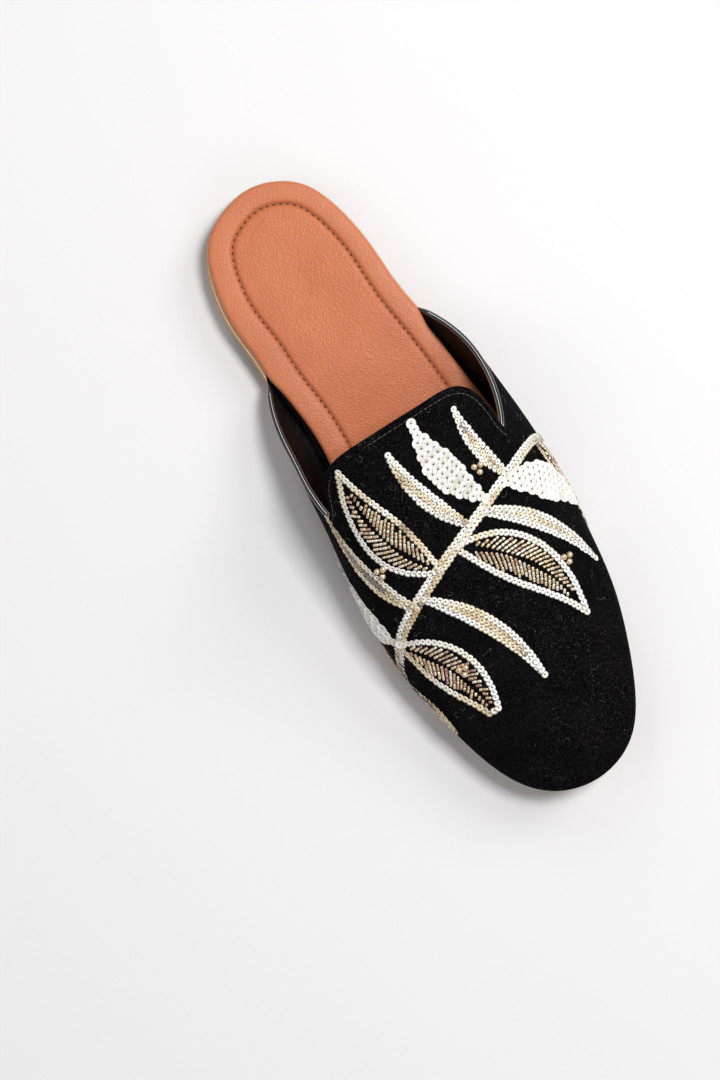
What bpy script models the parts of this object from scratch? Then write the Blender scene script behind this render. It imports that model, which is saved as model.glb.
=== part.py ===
# A left mule: a flat slip-on shoe with an open back, a long vamp that ends in a
# broad tongue tab, and low quarters that run down to the sole.
# The toe points along -Y, the lateral side is +X, and the shoe stands on Z = 0.

import math

import bmesh
import bpy
import numpy as np

# Driving sizes, in metres
SOLE_LENGTH = 0.256
BALL_WIDTH = 0.084
WAIST_WIDTH = 0.0645
HEEL_WIDTH = 0.062
OUTSOLE_THICKNESS = 0.0036
INSOLE_THICKNESS = 0.0030
HEEL_HEIGHT = 0.0080        # the outsole's underside above the floor at the heel
TOE_SPRING = 0.0070
TONGUE_HEIGHT = 0.058       # the upper's ridge above the sole at the tongue's end
SIDE_HEIGHT = 0.0150        # the widest line above the sole, at the instep
ARCH_OVERHANG = 0.0094      # how far the upper stands out over the sole at the arch
WALL = 0.0018               # velvet, backing and lining together
SEAM_GAP = 0.0003           # between pieces that are cemented face to face
MEDIAL_MARGIN = 0.0016      # the outsole's rim that shows beside the insole at the heel
LATERAL_MARGIN = 0.0006
EDGE_ROUND = 0.0007         # rounding of the sole's and the insole's edges
HEEL_TAPER = 0.0006         # how far the heel draws in towards the floor

# Places along the shoe, as shares of the sole's length from the heel
HEEL_BREAST = 0.235
WAIST_BACK = 0.26
WAIST_FRONT = 0.60
SPRING_START = 0.74
TOE_CENTRE = 0.84           # the toe's sections fan out round this point
UPPER_BACK = 0.20
SOCK_SWEEP = (0.200, 0.262)  # where the insole's edge draws in to let the upper pass

# Facets
SOLE_STATIONS = 34
SIDE_COLUMNS = 24
TOE_COLUMNS = 21
LOWER_ROWS = 4
UPPER_ROWS = 11
CURVE_STEPS = 4

# The sole's outline from heel to toe: share of the length, the width that the row
# follows, and the medial and lateral edges as shares of that width
OUTLINE = (
    # share, follows, medial, lateral
    (0.012, "heel", -0.200, 0.205),
    (0.050, "heel", -0.398, 0.374),
    (0.150, "heel", -0.510, 0.492),
    (0.220, "heel", -0.490, 0.512),
    (0.275, "heel", -0.482, 0.546),
    (0.340, "waist", -0.436, 0.570),
    (0.420, "waist", -0.445, 0.616),
    (0.520, "ball", -0.412, 0.512),
    (0.620, "ball", -0.470, 0.528),
    (0.700, "ball", -0.476, 0.514),
    (0.780, "ball", -0.450, 0.483),
    (0.860, "ball", -0.396, 0.412),
    (0.930, "ball", -0.320, 0.320),
    (0.980, "ball", -0.196, 0.196),
)
HEEL_TIP = 0.008            # sideways, as a share of the heel's width
TOE_TIP = 0.000             # sideways, as a share of the ball's width

# The upper's sections: ridge height by TONGUE_HEIGHT, ridge place by BALL_WIDTH, widest
# line by SIDE_HEIGHT, overhangs by ARCH_OVERHANG, and how square each side's arc is
SECTION_COLUMNS = (
    "share", "ridge", "ridge_x", "widest",
    "medial_over", "lateral_over", "medial_square", "lateral_square",
)
SECTIONS = (
    (0.20, 0.972, -0.010, 0.95, 0.50, 0.46, 2.50, 1.95),
    (0.30, 0.972, -0.014, 0.98, 0.84, 0.54, 2.55, 1.92),
    (0.36, 0.987, -0.016, 1.00, 0.95, 0.56, 2.60, 1.90),
    (0.42, 1.000, -0.018, 1.00, 0.98, 0.52, 2.60, 1.90),
    (0.52, 0.931, -0.020, 0.94, 0.58, 0.44, 2.45, 1.95),
    (0.62, 0.793, -0.022, 0.84, 0.31, 0.30, 2.30, 2.05),
    (0.74, 0.621, -0.018, 0.72, 0.26, 0.27, 2.25, 2.20),
    (0.86, 0.472, -0.012, 0.62, 0.24, 0.25, 2.30, 2.30),
    (1.00, 0.284, -0.008, 0.56, 0.23, 0.23, 2.35, 2.35),
)
UNDERLAP = 0.35             # how far the skin runs below the sole's top, by SIDE_HEIGHT

# The collar seen from the side, from the quarter's end up to the notch and then back
# along the tongue's edge: share of the length, and height above the sole by TONGUE_HEIGHT
TOPLINE = {
    "medial": ((0.250, -0.029), (0.305, 0.109), (0.356, 0.236), (0.400, 0.363),
               (0.450, 0.507), (0.483, 0.611)),
    "lateral": ((0.268, -0.029), (0.312, 0.107), (0.356, 0.236), (0.405, 0.400),
                (0.460, 0.581), (0.500, 0.695)),
}
TONGUE_EDGE = {
    "medial": ((0.475, 0.686), (0.447, 0.758), (0.433, 0.810), (0.424, 0.883),
               (0.4195, 0.943), (0.4185, 1.000)),
    "lateral": ((0.476, 0.702), (0.452, 0.716), (0.431, 0.743), (0.4165, 0.791),
                (0.4095, 0.864), (0.4110, 0.950)),
}
NOTCH_WIDTH = 0.86          # how far apart the notches lie, as a share of the ball's width


def along(share):
    """Y of a place given as a share of the sole's length from the heel."""
    return SOLE_LENGTH * (0.5 - share)


def share_at(y):
    return 0.5 - y / SOLE_LENGTH


def ease(x):
    x = np.clip(x, 0.0, 1.0)
    return x * x * (3 - 2 * x)


def hermite(x, xs, ys):
    """Smooth curve through (xs, ys) with slopes taken from the neighbours."""
    xs, ys = np.asarray(xs, float), np.asarray(ys, float)
    slopes = np.gradient(ys, xs)
    x = np.clip(x, xs[0], xs[-1])
    i = np.clip(np.searchsorted(xs, x, side="right") - 1, 0, len(xs) - 2)
    step = xs[i + 1] - xs[i]
    u = (x - xs[i]) / step
    return (
        ys[i] * (1 + 2 * u) * (1 - u) ** 2
        + ys[i + 1] * u * u * (3 - 2 * u)
        + step * (slopes[i] * u * (1 - u) ** 2 - slopes[i + 1] * u * u * (1 - u))
    )


def smooth_line(points, steps=CURVE_STEPS):
    """A smooth line through a few points, with steps pieces between each two."""
    points = np.asarray(points, float)
    distance = np.concatenate([[0.0], np.cumsum(np.linalg.norm(np.diff(points, axis=0), axis=1))])
    at = np.concatenate(
        [np.linspace(a, b, steps, endpoint=False) for a, b in zip(distance, distance[1:])]
        + [distance[-1:]]
    )
    return np.stack([hermite(at, distance, points[:, k]) for k in range(points.shape[1])], axis=1)


# Heights

def underside(share):
    """The outsole's underside above the floor."""
    waist = ease((WAIST_FRONT - share) / (WAIST_FRONT - WAIST_BACK)) * HEEL_HEIGHT
    spring = np.clip((share - SPRING_START) / (1 - SPRING_START), 0, None) ** 2 * TOE_SPRING
    return waist + spring


def sole_top(share):
    return underside(share) + OUTSOLE_THICKNESS


# The outline

def closed_outline(samples=720):
    """The sole's outline as a closed smooth curve: points and outward normals."""
    widths = {"heel": HEEL_WIDTH, "waist": WAIST_WIDTH, "ball": BALL_WIDTH}
    medial = [(m * widths[w], along(s)) for s, w, m, _ in OUTLINE]
    lateral = [(l * widths[w], along(s)) for s, w, _, l in OUTLINE]
    knots = np.array(
        [(HEEL_TIP * HEEL_WIDTH, along(0))]
        + medial
        + [(TOE_TIP * BALL_WIDTH, along(1))]
        + lateral[::-1]
    )
    count = len(knots)
    chord = np.sqrt(np.linalg.norm(np.roll(knots, -1, axis=0) - knots, axis=1))
    matrix, right = np.zeros((count, count)), np.zeros((count, 2))
    for i in range(count):
        before, after = chord[i - 1], chord[i]
        matrix[i, i - 1] = after
        matrix[i, i] = 2 * (before + after)
        matrix[i, (i + 1) % count] = before
        rise = (knots[(i + 1) % count] - knots[i]) / after
        fall = (knots[i] - knots[i - 1]) / before
        right[i] = 3 * (rise * before + fall * after)
    slopes = np.linalg.solve(matrix, right)
    at = np.linspace(0, count, samples, endpoint=False)
    i = at.astype(int)
    u = (at - i)[:, None]
    step, j = chord[i][:, None], (i + 1) % count
    points = (
        knots[i] * (1 + 2 * u) * (1 - u) ** 2
        + knots[j] * u * u * (3 - 2 * u)
        + step * (slopes[i] * u * (1 - u) ** 2 - slopes[j] * u * u * (1 - u))
    )
    tangent = np.roll(points, -1, axis=0) - np.roll(points, 1, axis=0)
    tangent /= np.linalg.norm(tangent, axis=1)[:, None]
    return points, np.stack([tangent[:, 1], -tangent[:, 0]], axis=1)


POINTS, NORMALS = closed_outline()
HEEL_INDEX = int(np.argmax(POINTS[:, 1]))
TOE_INDEX = int(np.argmin(POINTS[:, 1]))


def place_of(side, y):
    """Where along the closed curve a side of the outline passes this y."""
    span = TOE_INDEX - HEEL_INDEX
    steps = np.arange(span + 1) if side == "medial" else -np.arange(len(POINTS) - span + 1)
    index = (HEEL_INDEX + steps) % len(POINTS)
    return HEEL_INDEX + np.interp(-y, -POINTS[index, 1], steps)


def outline_at(place):
    """Point and outward normal of the outline at a fractional place on the curve."""
    low = int(math.floor(place))
    part = place - low
    a, b = low % len(POINTS), (low + 1) % len(POINTS)
    point = POINTS[a] * (1 - part) + POINTS[b] * part
    normal = NORMALS[a] * (1 - part) + NORMALS[b] * part
    return point, normal / np.linalg.norm(normal)


# The upper's section

def section_value(share, column):
    table = np.array(SECTIONS)
    return hermite(share, table[:, 0], table[:, SECTION_COLUMNS.index(column)])


def overhang(share, side):
    return section_value(share, side + "_over") * ARCH_OVERHANG


def widest_height(share):
    return sole_top(share) + section_value(share, "widest") * SIDE_HEIGHT


def ridge_height(share):
    return sole_top(share) + section_value(share, "ridge") * TONGUE_HEIGHT


def ridge_point(share):
    share = min(share, TOE_CENTRE)
    return np.array([section_value(share, "ridge_x") * BALL_WIDTH, along(share)])


def section_column(place, side):
    """The upper's outer face from below the sole's top edge to the ridge."""
    base, normal = outline_at(place)
    share = share_at(base[1])
    over = overhang(share, side)
    square = section_value(share, side + "_square")
    centre = ridge_point(share)
    widest = base + normal * over
    column = []
    for row in np.linspace(-UNDERLAP, 1, LOWER_ROWS + 1):
        spot = base + normal * over * (1 - (1 - row) ** 2)
        here = share_at(spot[1])
        height = sole_top(here) + row * (widest_height(here) - sole_top(here))
        column.append((spot[0], spot[1], height))
    for step in range(1, UPPER_ROWS + 1):
        angle = math.pi / 2 * step / UPPER_ROWS
        out = max(math.cos(angle), 0.0) ** (2 / square)
        up = math.sin(angle) ** (2 / square)
        spot = centre + out * (widest - centre)
        here = share_at(spot[1])
        rise = ridge_height(here) - widest_height(here)
        column.append((spot[0], spot[1], widest_height(here) + rise * up))
    return column


def wall_across(share, side):
    """The wall's thickness measured level, where it leans out of the sole."""
    lean = 2 * overhang(share, side) / (widest_height(share) - sole_top(share))
    return WALL * math.hypot(1, lean)


# Mesh helpers

def material(name, colour, roughness, metallic=0.0):
    made = bpy.data.materials.new(name)
    made.use_nodes = True
    shader = made.node_tree.nodes["Principled BSDF"]
    shader.inputs["Base Color"].default_value = (*colour, 1)
    shader.inputs["Roughness"].default_value = roughness
    shader.inputs["Metallic"].default_value = metallic
    return made


def add_object(name, vertices, faces, finish, collection):
    mesh = bpy.data.meshes.new(name)
    mesh.from_pydata([tuple(map(float, v)) for v in vertices], [], faces)
    work = bmesh.new()
    work.from_mesh(mesh)
    bmesh.ops.remove_doubles(work, verts=work.verts, dist=1e-6)
    bmesh.ops.recalc_face_normals(work, faces=work.faces)
    work.to_mesh(mesh)
    work.free()
    if finish:
        mesh.materials.append(finish)
    made = bpy.data.objects.new(name, mesh)
    collection.objects.link(made)
    return made


def sole_ring(shares):
    """Places round the outline at these shares, down the medial side and back up the
    lateral one. A list that ends at 1 closes at the toe's tip, any other straight across."""
    to_toe = shares[-1] >= 1
    inner = shares[1:-1] if to_toe else shares[1:]
    ring = [(HEEL_INDEX, "medial")]
    ring += [(place_of("medial", along(s)), "medial") for s in inner]
    ring += [(TOE_INDEX, "medial")] if to_toe else []
    ring += [(place_of("lateral", along(s)), "lateral") for s in reversed(inner)]
    return ring


def board(name, shares, levels, finish, collection):
    """A board between stacked rings. Each level gives its inset from the outline, by share
    and side, and its height by share. Rungs across the board make its two faces."""
    ring = sole_ring(shares)
    size, vertices, faces = len(ring), [], []
    for inset, height in levels:
        for place, side in ring:
            point, normal = outline_at(place)
            spot = point - normal * inset(share_at(point[1]), side)
            vertices.append((spot[0], spot[1], height(share_at(spot[1]))))
    for level in range(len(levels) - 1):
        for i in range(size):
            a, b = level * size + i, level * size + (i + 1) % size
            faces.append((a, b, b + size, a + size))
    for start in (0, (len(levels) - 1) * size):
        for i in range(size // 2):
            corners = (i, i + 1, size - i - 1, (size - i) % size)
            rung = dict.fromkeys(start + k for k in corners)
            if len(rung) > 2:
                faces.append(tuple(rung))
    return add_object(name, vertices, faces, finish, collection)


def shares_to(last, count):
    """Shares from the heel's tip, closer together where the outline turns."""
    turn = np.linspace(0, math.pi if last >= 1 else math.pi / 2, count + 1)
    shares = 1 - np.cos(turn)
    return list(shares / shares[-1] * last)


# The pieces

def make_outsole(finish, collection):
    def edge(inset):
        return lambda share, side: inset

    levels = (
        (edge(EDGE_ROUND), underside),
        (edge(0.0), lambda s: underside(s) + EDGE_ROUND),
        (edge(0.0), lambda s: sole_top(s) - EDGE_ROUND / 2),
        (edge(EDGE_ROUND / 2), sole_top),
    )
    return board("outsole", shares_to(1, SOLE_STATIONS), levels, finish, collection)


def make_heel(finish, collection):
    def edge(inset):
        return lambda share, side: inset

    levels = (
        (edge(HEEL_TAPER + EDGE_ROUND), lambda s: 0.0),
        (edge(HEEL_TAPER), lambda s: EDGE_ROUND),
        (edge(EDGE_ROUND / 2), lambda s: underside(s) - SEAM_GAP),
    )
    shares = shares_to(HEEL_BREAST, SOLE_STATIONS // 3)
    return board("heel", shares, levels, finish, collection)


def make_insole(finish, collection):
    def edge(extra):
        def inset(share, side):
            start, end = SOCK_SWEEP
            sweep = ease((share - start) / (end - start))
            margin = MEDIAL_MARGIN if side == "medial" else LATERAL_MARGIN
            inside = wall_across(share, side) + SEAM_GAP
            return margin * (1 - sweep) + inside * sweep + extra
        return inset

    def top_less(drop):
        return lambda s: sole_top(s) + SEAM_GAP + INSOLE_THICKNESS - drop

    levels = (
        (edge(0.0), top_less(INSOLE_THICKNESS)),
        (edge(0.0), top_less(1.5 * EDGE_ROUND)),
        (edge(0.5 * EDGE_ROUND), top_less(0.4 * EDGE_ROUND)),
        (edge(2.0 * EDGE_ROUND), top_less(0.0)),
    )
    return board("insole", shares_to(1, SOLE_STATIONS), levels, finish, collection)


def upper_skin(finish, collection):
    """The upper's outer face, closed over the instep and with no collar yet."""
    stations = np.linspace(UPPER_BACK, TOE_CENTRE, SIDE_COLUMNS)
    medial = [(place_of("medial", along(s)), "medial") for s in stations]
    lateral = [(place_of("lateral", along(s)), "lateral") for s in stations]
    start, end = medial[-1][0], lateral[-1][0] + len(POINTS)
    toe = [
        (p, "medial" if p <= TOE_INDEX else "lateral")
        for p in np.linspace(start, end, TOE_COLUMNS + 2)[1:-1]
    ]
    columns = [section_column(place, side) for place, side in medial + toe + lateral[::-1]]
    rows = len(columns[0])
    vertices = [point for column in columns for point in column]
    faces = [
        (c * rows + r, (c + 1) * rows + r, (c + 1) * rows + r + 1, c * rows + r + 1)
        for c in range(len(columns) - 1)
        for r in range(rows - 1)
    ]
    return add_object("upper", vertices, faces, finish, collection)


def cutter_between(name, medial_profile, lateral_profile, collection):
    """A closed cutter across the shoe between two profiles in YZ, a BALL_WIDTH to each side."""
    count = len(medial_profile)
    vertices = [(-BALL_WIDTH, y, z) for y, z in medial_profile]
    vertices += [(BALL_WIDTH, y, z) for y, z in lateral_profile]
    faces = [tuple(range(count)), tuple(range(2 * count - 1, count - 1, -1))]
    faces += [(i, (i + 1) % count, (i + 1) % count + count, i + count) for i in range(count)]
    cutter = add_object(name, vertices, faces, None, collection)
    cutter.hide_render = True
    cutter.display_type = "WIRE"
    return cutter


def collar_profile(side):
    """The opening's outline in YZ, from the quarter's end up to the tongue and round it."""
    topline = smooth_line(TOPLINE[side])
    tongue = smooth_line((TOPLINE[side][-1],) + TONGUE_EDGE[side])[1:]
    edge = [(along(s), sole_top(s) + h * TONGUE_HEIGHT) for s, h in np.concatenate([topline, tongue])]
    above, below = 2 * TONGUE_HEIGHT, -SIDE_HEIGHT
    return np.array(
        edge + [(edge[-1][0], above), (along(0), above), (along(0), below), (edge[0][0], below)]
    )


def collar_cutter(collection):
    """One solid through both sides, so that each side gets its own topline."""
    medial, lateral = collar_profile("medial"), collar_profile("lateral")
    middle, spread = (medial + lateral) / 2, (lateral - medial) / NOTCH_WIDTH
    return cutter_between("collar_cutter", middle - spread, middle + spread, collection)


def sole_cutter(collection):
    """The space under the upper: its top lies a seam's gap above the outsole."""
    shares = np.linspace(0, 1 + UNDERLAP, SOLE_STATIONS + 1)
    profile = [(along(s), sole_top(s) + SEAM_GAP) for s in shares]
    profile += [(along(shares[-1]), -TONGUE_HEIGHT), (along(0), -TONGUE_HEIGHT)]
    return cutter_between("sole_cutter", profile, profile, collection)


def cut(target, cutter):
    modifier = target.modifiers.new(cutter.name, "BOOLEAN")
    modifier.operation = "DIFFERENCE"
    modifier.solver = "EXACT"
    modifier.object = cutter


def make_upper(finish, collection, helpers):
    upper = upper_skin(finish, collection)
    shell = upper.modifiers.new("wall", "SOLIDIFY")
    shell.thickness = WALL
    shell.offset = -1
    shell.use_even_offset = True
    cut(upper, sole_cutter(helpers))
    cut(upper, collar_cutter(helpers))
    return upper


def centre_on_floor(objects):
    """Moves the shoe so that the middle of its box lies over the origin."""
    bpy.context.view_layer.update()
    graph = bpy.context.evaluated_depsgraph_get()
    corners = []
    for piece in objects:
        mesh = piece.evaluated_get(graph).to_mesh()
        corners += [tuple(v.co) for v in mesh.vertices]
    low, high = np.min(corners, axis=0), np.max(corners, axis=0)
    shift = ((low[0] + high[0]) / 2, (low[1] + high[1]) / 2, low[2])
    for piece in bpy.data.objects:
        piece.location = (-shift[0], -shift[1], -shift[2])


def main():
    for old in list(bpy.data.objects):
        bpy.data.objects.remove(old, do_unlink=True)
    mule = bpy.data.collections.new("left_mule")
    helpers = bpy.data.collections.new("cutters")
    for group in (mule, helpers):
        bpy.context.scene.collection.children.link(group)
    pieces = [
        make_outsole(material("natural_sole", (0.56, 0.36, 0.19), 0.55), mule),
        make_heel(material("stacked_heel", (0.40, 0.24, 0.13), 0.5), mule),
        make_insole(material("tan_leather", (0.55, 0.21, 0.10), 0.5), mule),
        make_upper(material("black_velvet", (0.008, 0.008, 0.010), 0.9), mule, helpers),
    ]
    centre_on_floor(pieces)
    for piece in pieces:
        piece.data.shade_smooth()
        piece.data.set_sharp_from_angle(angle=math.radians(35))


main()
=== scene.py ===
import math

import bmesh
import bpy
import numpy as np
from mathutils import Matrix, Vector


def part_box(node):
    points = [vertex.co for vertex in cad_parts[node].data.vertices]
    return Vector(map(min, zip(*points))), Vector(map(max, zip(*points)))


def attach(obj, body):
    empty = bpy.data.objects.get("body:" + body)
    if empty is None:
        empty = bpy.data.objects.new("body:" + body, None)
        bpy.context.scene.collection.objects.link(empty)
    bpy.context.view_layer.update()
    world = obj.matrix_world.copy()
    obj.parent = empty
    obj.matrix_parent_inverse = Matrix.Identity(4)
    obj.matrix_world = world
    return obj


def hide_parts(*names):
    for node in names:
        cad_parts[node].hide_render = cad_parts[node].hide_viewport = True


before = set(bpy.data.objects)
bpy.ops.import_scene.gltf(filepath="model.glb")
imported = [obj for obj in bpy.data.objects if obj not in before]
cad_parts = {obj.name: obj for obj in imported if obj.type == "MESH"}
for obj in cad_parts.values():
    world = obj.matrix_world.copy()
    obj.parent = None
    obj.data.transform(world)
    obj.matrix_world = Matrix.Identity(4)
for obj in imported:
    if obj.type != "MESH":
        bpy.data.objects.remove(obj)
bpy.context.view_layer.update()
rng = np.random.default_rng(11)

# A left mule: black velvet over a tan padded sock, the vamp worked with sequins and beads.
# The toe points along -Y and the lateral side is +X. Every size is in metres.

soleLow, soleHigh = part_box("outsole")

shoe = {                      # the sizes that the frame's solids have
    "length": soleHigh.y - soleLow.y,
    "ball": 0.084,
    "waist": 0.0645,
    "heel": 0.062,
    "outsole": 0.0036,
    "insole": 0.0030,
    "heelHeight": 0.0080,
    "toeSpring": 0.0070,
    "tongueHeight": 0.058,    # the ridge above the sole at the tongue's end
    "sideHeight": 0.0150,     # the widest line above the sole at the instep
    "archOverhang": 0.0094,
    "wall": 0.0018,
    "gap": 0.0003,
    "medialMargin": 0.0016,   # the sole's rim beside the sock
    "lateralMargin": 0.0006,
    "edgeRound": 0.0007,
    "heelTaper": 0.0006,
    "heelBreast": 0.235,      # from here on, shares of the length from the heel
    "waistBack": 0.26,
    "waistFront": 0.60,
    "springStart": 0.74,
    "toeCentre": 0.84,
    "upperBack": 0.20,
    "notchWidth": 0.86,       # by the ball's width
}

outlineRows = (               # share, width it follows, medial and lateral edge by that width
    (0.012, "heel", -0.200, 0.205),
    (0.050, "heel", -0.398, 0.374),
    (0.150, "heel", -0.510, 0.492),
    (0.220, "heel", -0.490, 0.512),
    (0.275, "heel", -0.482, 0.546),
    (0.340, "waist", -0.436, 0.570),
    (0.420, "waist", -0.445, 0.616),
    (0.520, "ball", -0.412, 0.512),
    (0.620, "ball", -0.470, 0.528),
    (0.700, "ball", -0.476, 0.514),
    (0.780, "ball", -0.450, 0.483),
    (0.860, "ball", -0.396, 0.412),
    (0.930, "ball", -0.320, 0.320),
    (0.980, "ball", -0.196, 0.196),
)
heelTip = 0.008               # sideways, by the heel's width

sectionColumns = (            # ridge, widest line, overhangs and how square each side is
    "share", "ridge", "ridgeX", "widest", "medialOver", "lateralOver", "medialSquare", "lateralSquare",
)
sectionRows = (
    (0.20, 0.972, -0.010, 0.95, 0.50, 0.46, 2.50, 1.95),
    (0.30, 0.972, -0.014, 0.98, 0.84, 0.54, 2.55, 1.92),
    (0.36, 0.987, -0.016, 1.00, 0.95, 0.56, 2.60, 1.90),
    (0.42, 1.000, -0.018, 1.00, 0.98, 0.52, 2.60, 1.90),
    (0.52, 0.931, -0.020, 0.94, 0.58, 0.44, 2.45, 1.95),
    (0.62, 0.793, -0.022, 0.84, 0.31, 0.30, 2.30, 2.05),
    (0.74, 0.621, -0.018, 0.72, 0.26, 0.27, 2.25, 2.20),
    (0.86, 0.472, -0.012, 0.62, 0.24, 0.25, 2.30, 2.30),
    (1.00, 0.284, -0.008, 0.56, 0.23, 0.23, 2.35, 2.35),
)

collar = {                    # share of the length and height by tongueHeight, quarter's end to notch
    "medialTop": (
        (0.250, -0.029), (0.305, 0.109), (0.356, 0.236),
        (0.400, 0.363), (0.450, 0.507), (0.483, 0.611),
    ),
    "lateralTop": (
        (0.268, -0.029), (0.312, 0.107), (0.356, 0.236),
        (0.405, 0.400), (0.460, 0.581), (0.500, 0.695),
    ),
    "medialTongue": (
        (0.475, 0.686), (0.447, 0.758), (0.433, 0.810),
        (0.424, 0.883), (0.4195, 0.943), (0.4185, 1.000),
    ),
    "lateralTongue": (
        (0.476, 0.702), (0.452, 0.716), (0.431, 0.743),
        (0.4165, 0.791), (0.4095, 0.864), (0.4110, 0.950),
    ),
}


def along(share):             # y of a share of the length from the heel
    return shoe["length"] * (0.5 - share)


def shareAt(y):
    return 0.5 - y / shoe["length"]


def ease(x):
    x = np.clip(x, 0.0, 1.0)
    return x * x * (3 - 2 * x)


def unit(v):
    return v / np.maximum(np.linalg.norm(v, axis=-1, keepdims=True), 1e-12)


def hermite(x, xs, ys):       # smooth curve through (xs, ys)
    xs, ys = np.asarray(xs, float), np.asarray(ys, float)
    slopes = np.gradient(ys, xs)
    x = np.clip(x, xs[0], xs[-1])
    i = np.clip(np.searchsorted(xs, x, side="right") - 1, 0, len(xs) - 2)
    step = xs[i + 1] - xs[i]
    u = (x - xs[i]) / step
    return (ys[i] * (1 + 2 * u) * (1 - u) ** 2 + ys[i + 1] * u * u * (3 - 2 * u)
            + step * (slopes[i] * u * (1 - u) ** 2 - slopes[i + 1] * u * u * (1 - u)))


def travelled(points):        # distance along a line of points
    steps = np.linalg.norm(np.diff(points, axis=0), axis=1)
    return np.concatenate([[0.0], np.cumsum(steps)])


def smoothLine(points, count):
    points = np.asarray(points, float)
    at = travelled(points)
    where = np.linspace(0, at[-1], count)
    return np.stack([hermite(where, at, points[:, k]) for k in range(points.shape[1])], axis=1)


def evenly(points, count):    # the same line with its points evenly apart
    at = travelled(points[:, :3])
    where = np.linspace(0, at[-1], count)
    return np.stack([np.interp(where, at, points[:, k]) for k in range(points.shape[1])], axis=1)


# The last: outline, heights and sections

def underside(share):
    raised = (shoe["waistFront"] - share) / (shoe["waistFront"] - shoe["waistBack"])
    sprung = (share - shoe["springStart"]) / (1 - shoe["springStart"])
    return ease(raised) * shoe["heelHeight"] + np.clip(sprung, 0, None) ** 2 * shoe["toeSpring"]


def soleTop(share):
    return underside(share) + shoe["outsole"]


def closedOutline(samples=1440):
    medial = [(m * shoe[w], along(s)) for s, w, m, _ in outlineRows]
    lateral = [(l * shoe[w], along(s)) for s, w, _, l in outlineRows]
    knotsAndHoleShade = np.array([(heelTip * shoe["heel"], along(0))] + medial + [(0.0, along(1))] + lateral[::-1])
    count = len(knotsAndHoleShade)
    chord = np.sqrt(np.linalg.norm(np.roll(knotsAndHoleShade, -1, axis=0) - knotsAndHoleShade, axis=1))
    matrix, right = np.zeros((count, count)), np.zeros((count, 2))
    for i in range(count):
        before, after = chord[i - 1], chord[i]
        matrix[i, i - 1] = after
        matrix[i, i] = 2 * (before + after)
        matrix[i, (i + 1) % count] = before
        rise = (knotsAndHoleShade[(i + 1) % count] - knotsAndHoleShade[i]) / after
        fall = (knotsAndHoleShade[i] - knotsAndHoleShade[i - 1]) / before
        right[i] = 3 * (rise * before + fall * after)
    slopes = np.linalg.solve(matrix, right)
    at = np.linspace(0, count, samples, endpoint=False)
    i = at.astype(int)
    u = (at - i)[:, None]
    step, j = chord[i][:, None], (i + 1) % count
    points = (knotsAndHoleShade[i] * (1 + 2 * u) * (1 - u) ** 2 + knotsAndHoleShade[j] * u * u * (3 - 2 * u)
              + step * (slopes[i] * u * (1 - u) ** 2 - slopes[j] * u * u * (1 - u)))
    tangent = unit(np.roll(points, -1, axis=0) - np.roll(points, 1, axis=0))
    return points, np.stack([tangent[:, 1], -tangent[:, 0]], axis=1)


outline, outlineNormals = closedOutline()
heelIndex = int(np.argmax(outline[:, 1]))
toeIndex = int(np.argmin(outline[:, 1]))
middleX, middleY = (outline.max(axis=0) + outline.min(axis=0)) / 2
shift = np.array([(soleLow.x + soleHigh.x) / 2 - middleX, (soleLow.y + soleHigh.y) / 2 - middleY, 0.0])


def placeOf(side, y):         # where along the outline a side passes this y
    span = toeIndex - heelIndex
    steps = np.arange(span + 1) if side == "medial" else -np.arange(len(outline) - span + 1)
    index = (heelIndex + steps) % len(outline)
    return heelIndex + np.interp(-np.asarray(y), -outline[index, 1], steps)


def outlineAt(place):
    low = np.floor(place).astype(int)
    part = (place - low)[..., None]
    a, b = low % len(outline), (low + 1) % len(outline)
    point = outline[a] * (1 - part) + outline[b] * part
    return point, unit(outlineNormals[a] * (1 - part) + outlineNormals[b] * part)


def sectionValue(share, column):
    table = np.array(sectionRows)
    return hermite(share, table[:, 0], table[:, sectionColumns.index(column)])


def overhang(share, side):
    return sectionValue(share, side + "Over") * shoe["archOverhang"]


def widestHeight(share):
    return soleTop(share) + sectionValue(share, "widest") * shoe["sideHeight"]


def ridgeHeight(share):
    return soleTop(share) + sectionValue(share, "ridge") * shoe["tongueHeight"]


columnSamples = {"wall": 24, "over": 160}               # below and above the widest line


def skinColumn(place, side, count):                     # one line of the skin, from the sole up to the ridge
    base, normal = outlineAt(np.asarray(place, float))
    share = shareAt(base[1])
    over, square = overhang(share, side), sectionValue(share, side + "Square")
    centreShare = min(share, shoe["toeCentre"])
    centre = np.array([sectionValue(centreShare, "ridgeX") * shoe["ball"], along(centreShare)])
    widest = base + normal * over
    first = shoe["gap"] / (widestHeight(share) - soleTop(share))
    row = np.linspace(first, 1, columnSamples["wall"], endpoint=False)[:, None]
    lower = base + normal * over * (1 - (1 - row) ** 2)
    here = shareAt(lower[:, 1])
    lowerZ = soleTop(here) + row[:, 0] * (widestHeight(here) - soleTop(here))
    angle = np.linspace(0, math.pi / 2, columnSamples["over"])
    out = np.clip(np.cos(angle), 0, None) ** (2 / square)
    up = np.sin(angle) ** (2 / square)
    upper = centre + out[:, None] * (widest - centre)
    here = shareAt(upper[:, 1])
    upperZ = widestHeight(here) + (ridgeHeight(here) - widestHeight(here)) * up
    points = np.column_stack([np.concatenate([lower, upper]), np.concatenate([lowerZ, upperZ])])
    return evenly(points, count)


# Meshes

collection = bpy.data.collections.new("left_mule")
bpy.context.scene.collection.children.link(collection)


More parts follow.
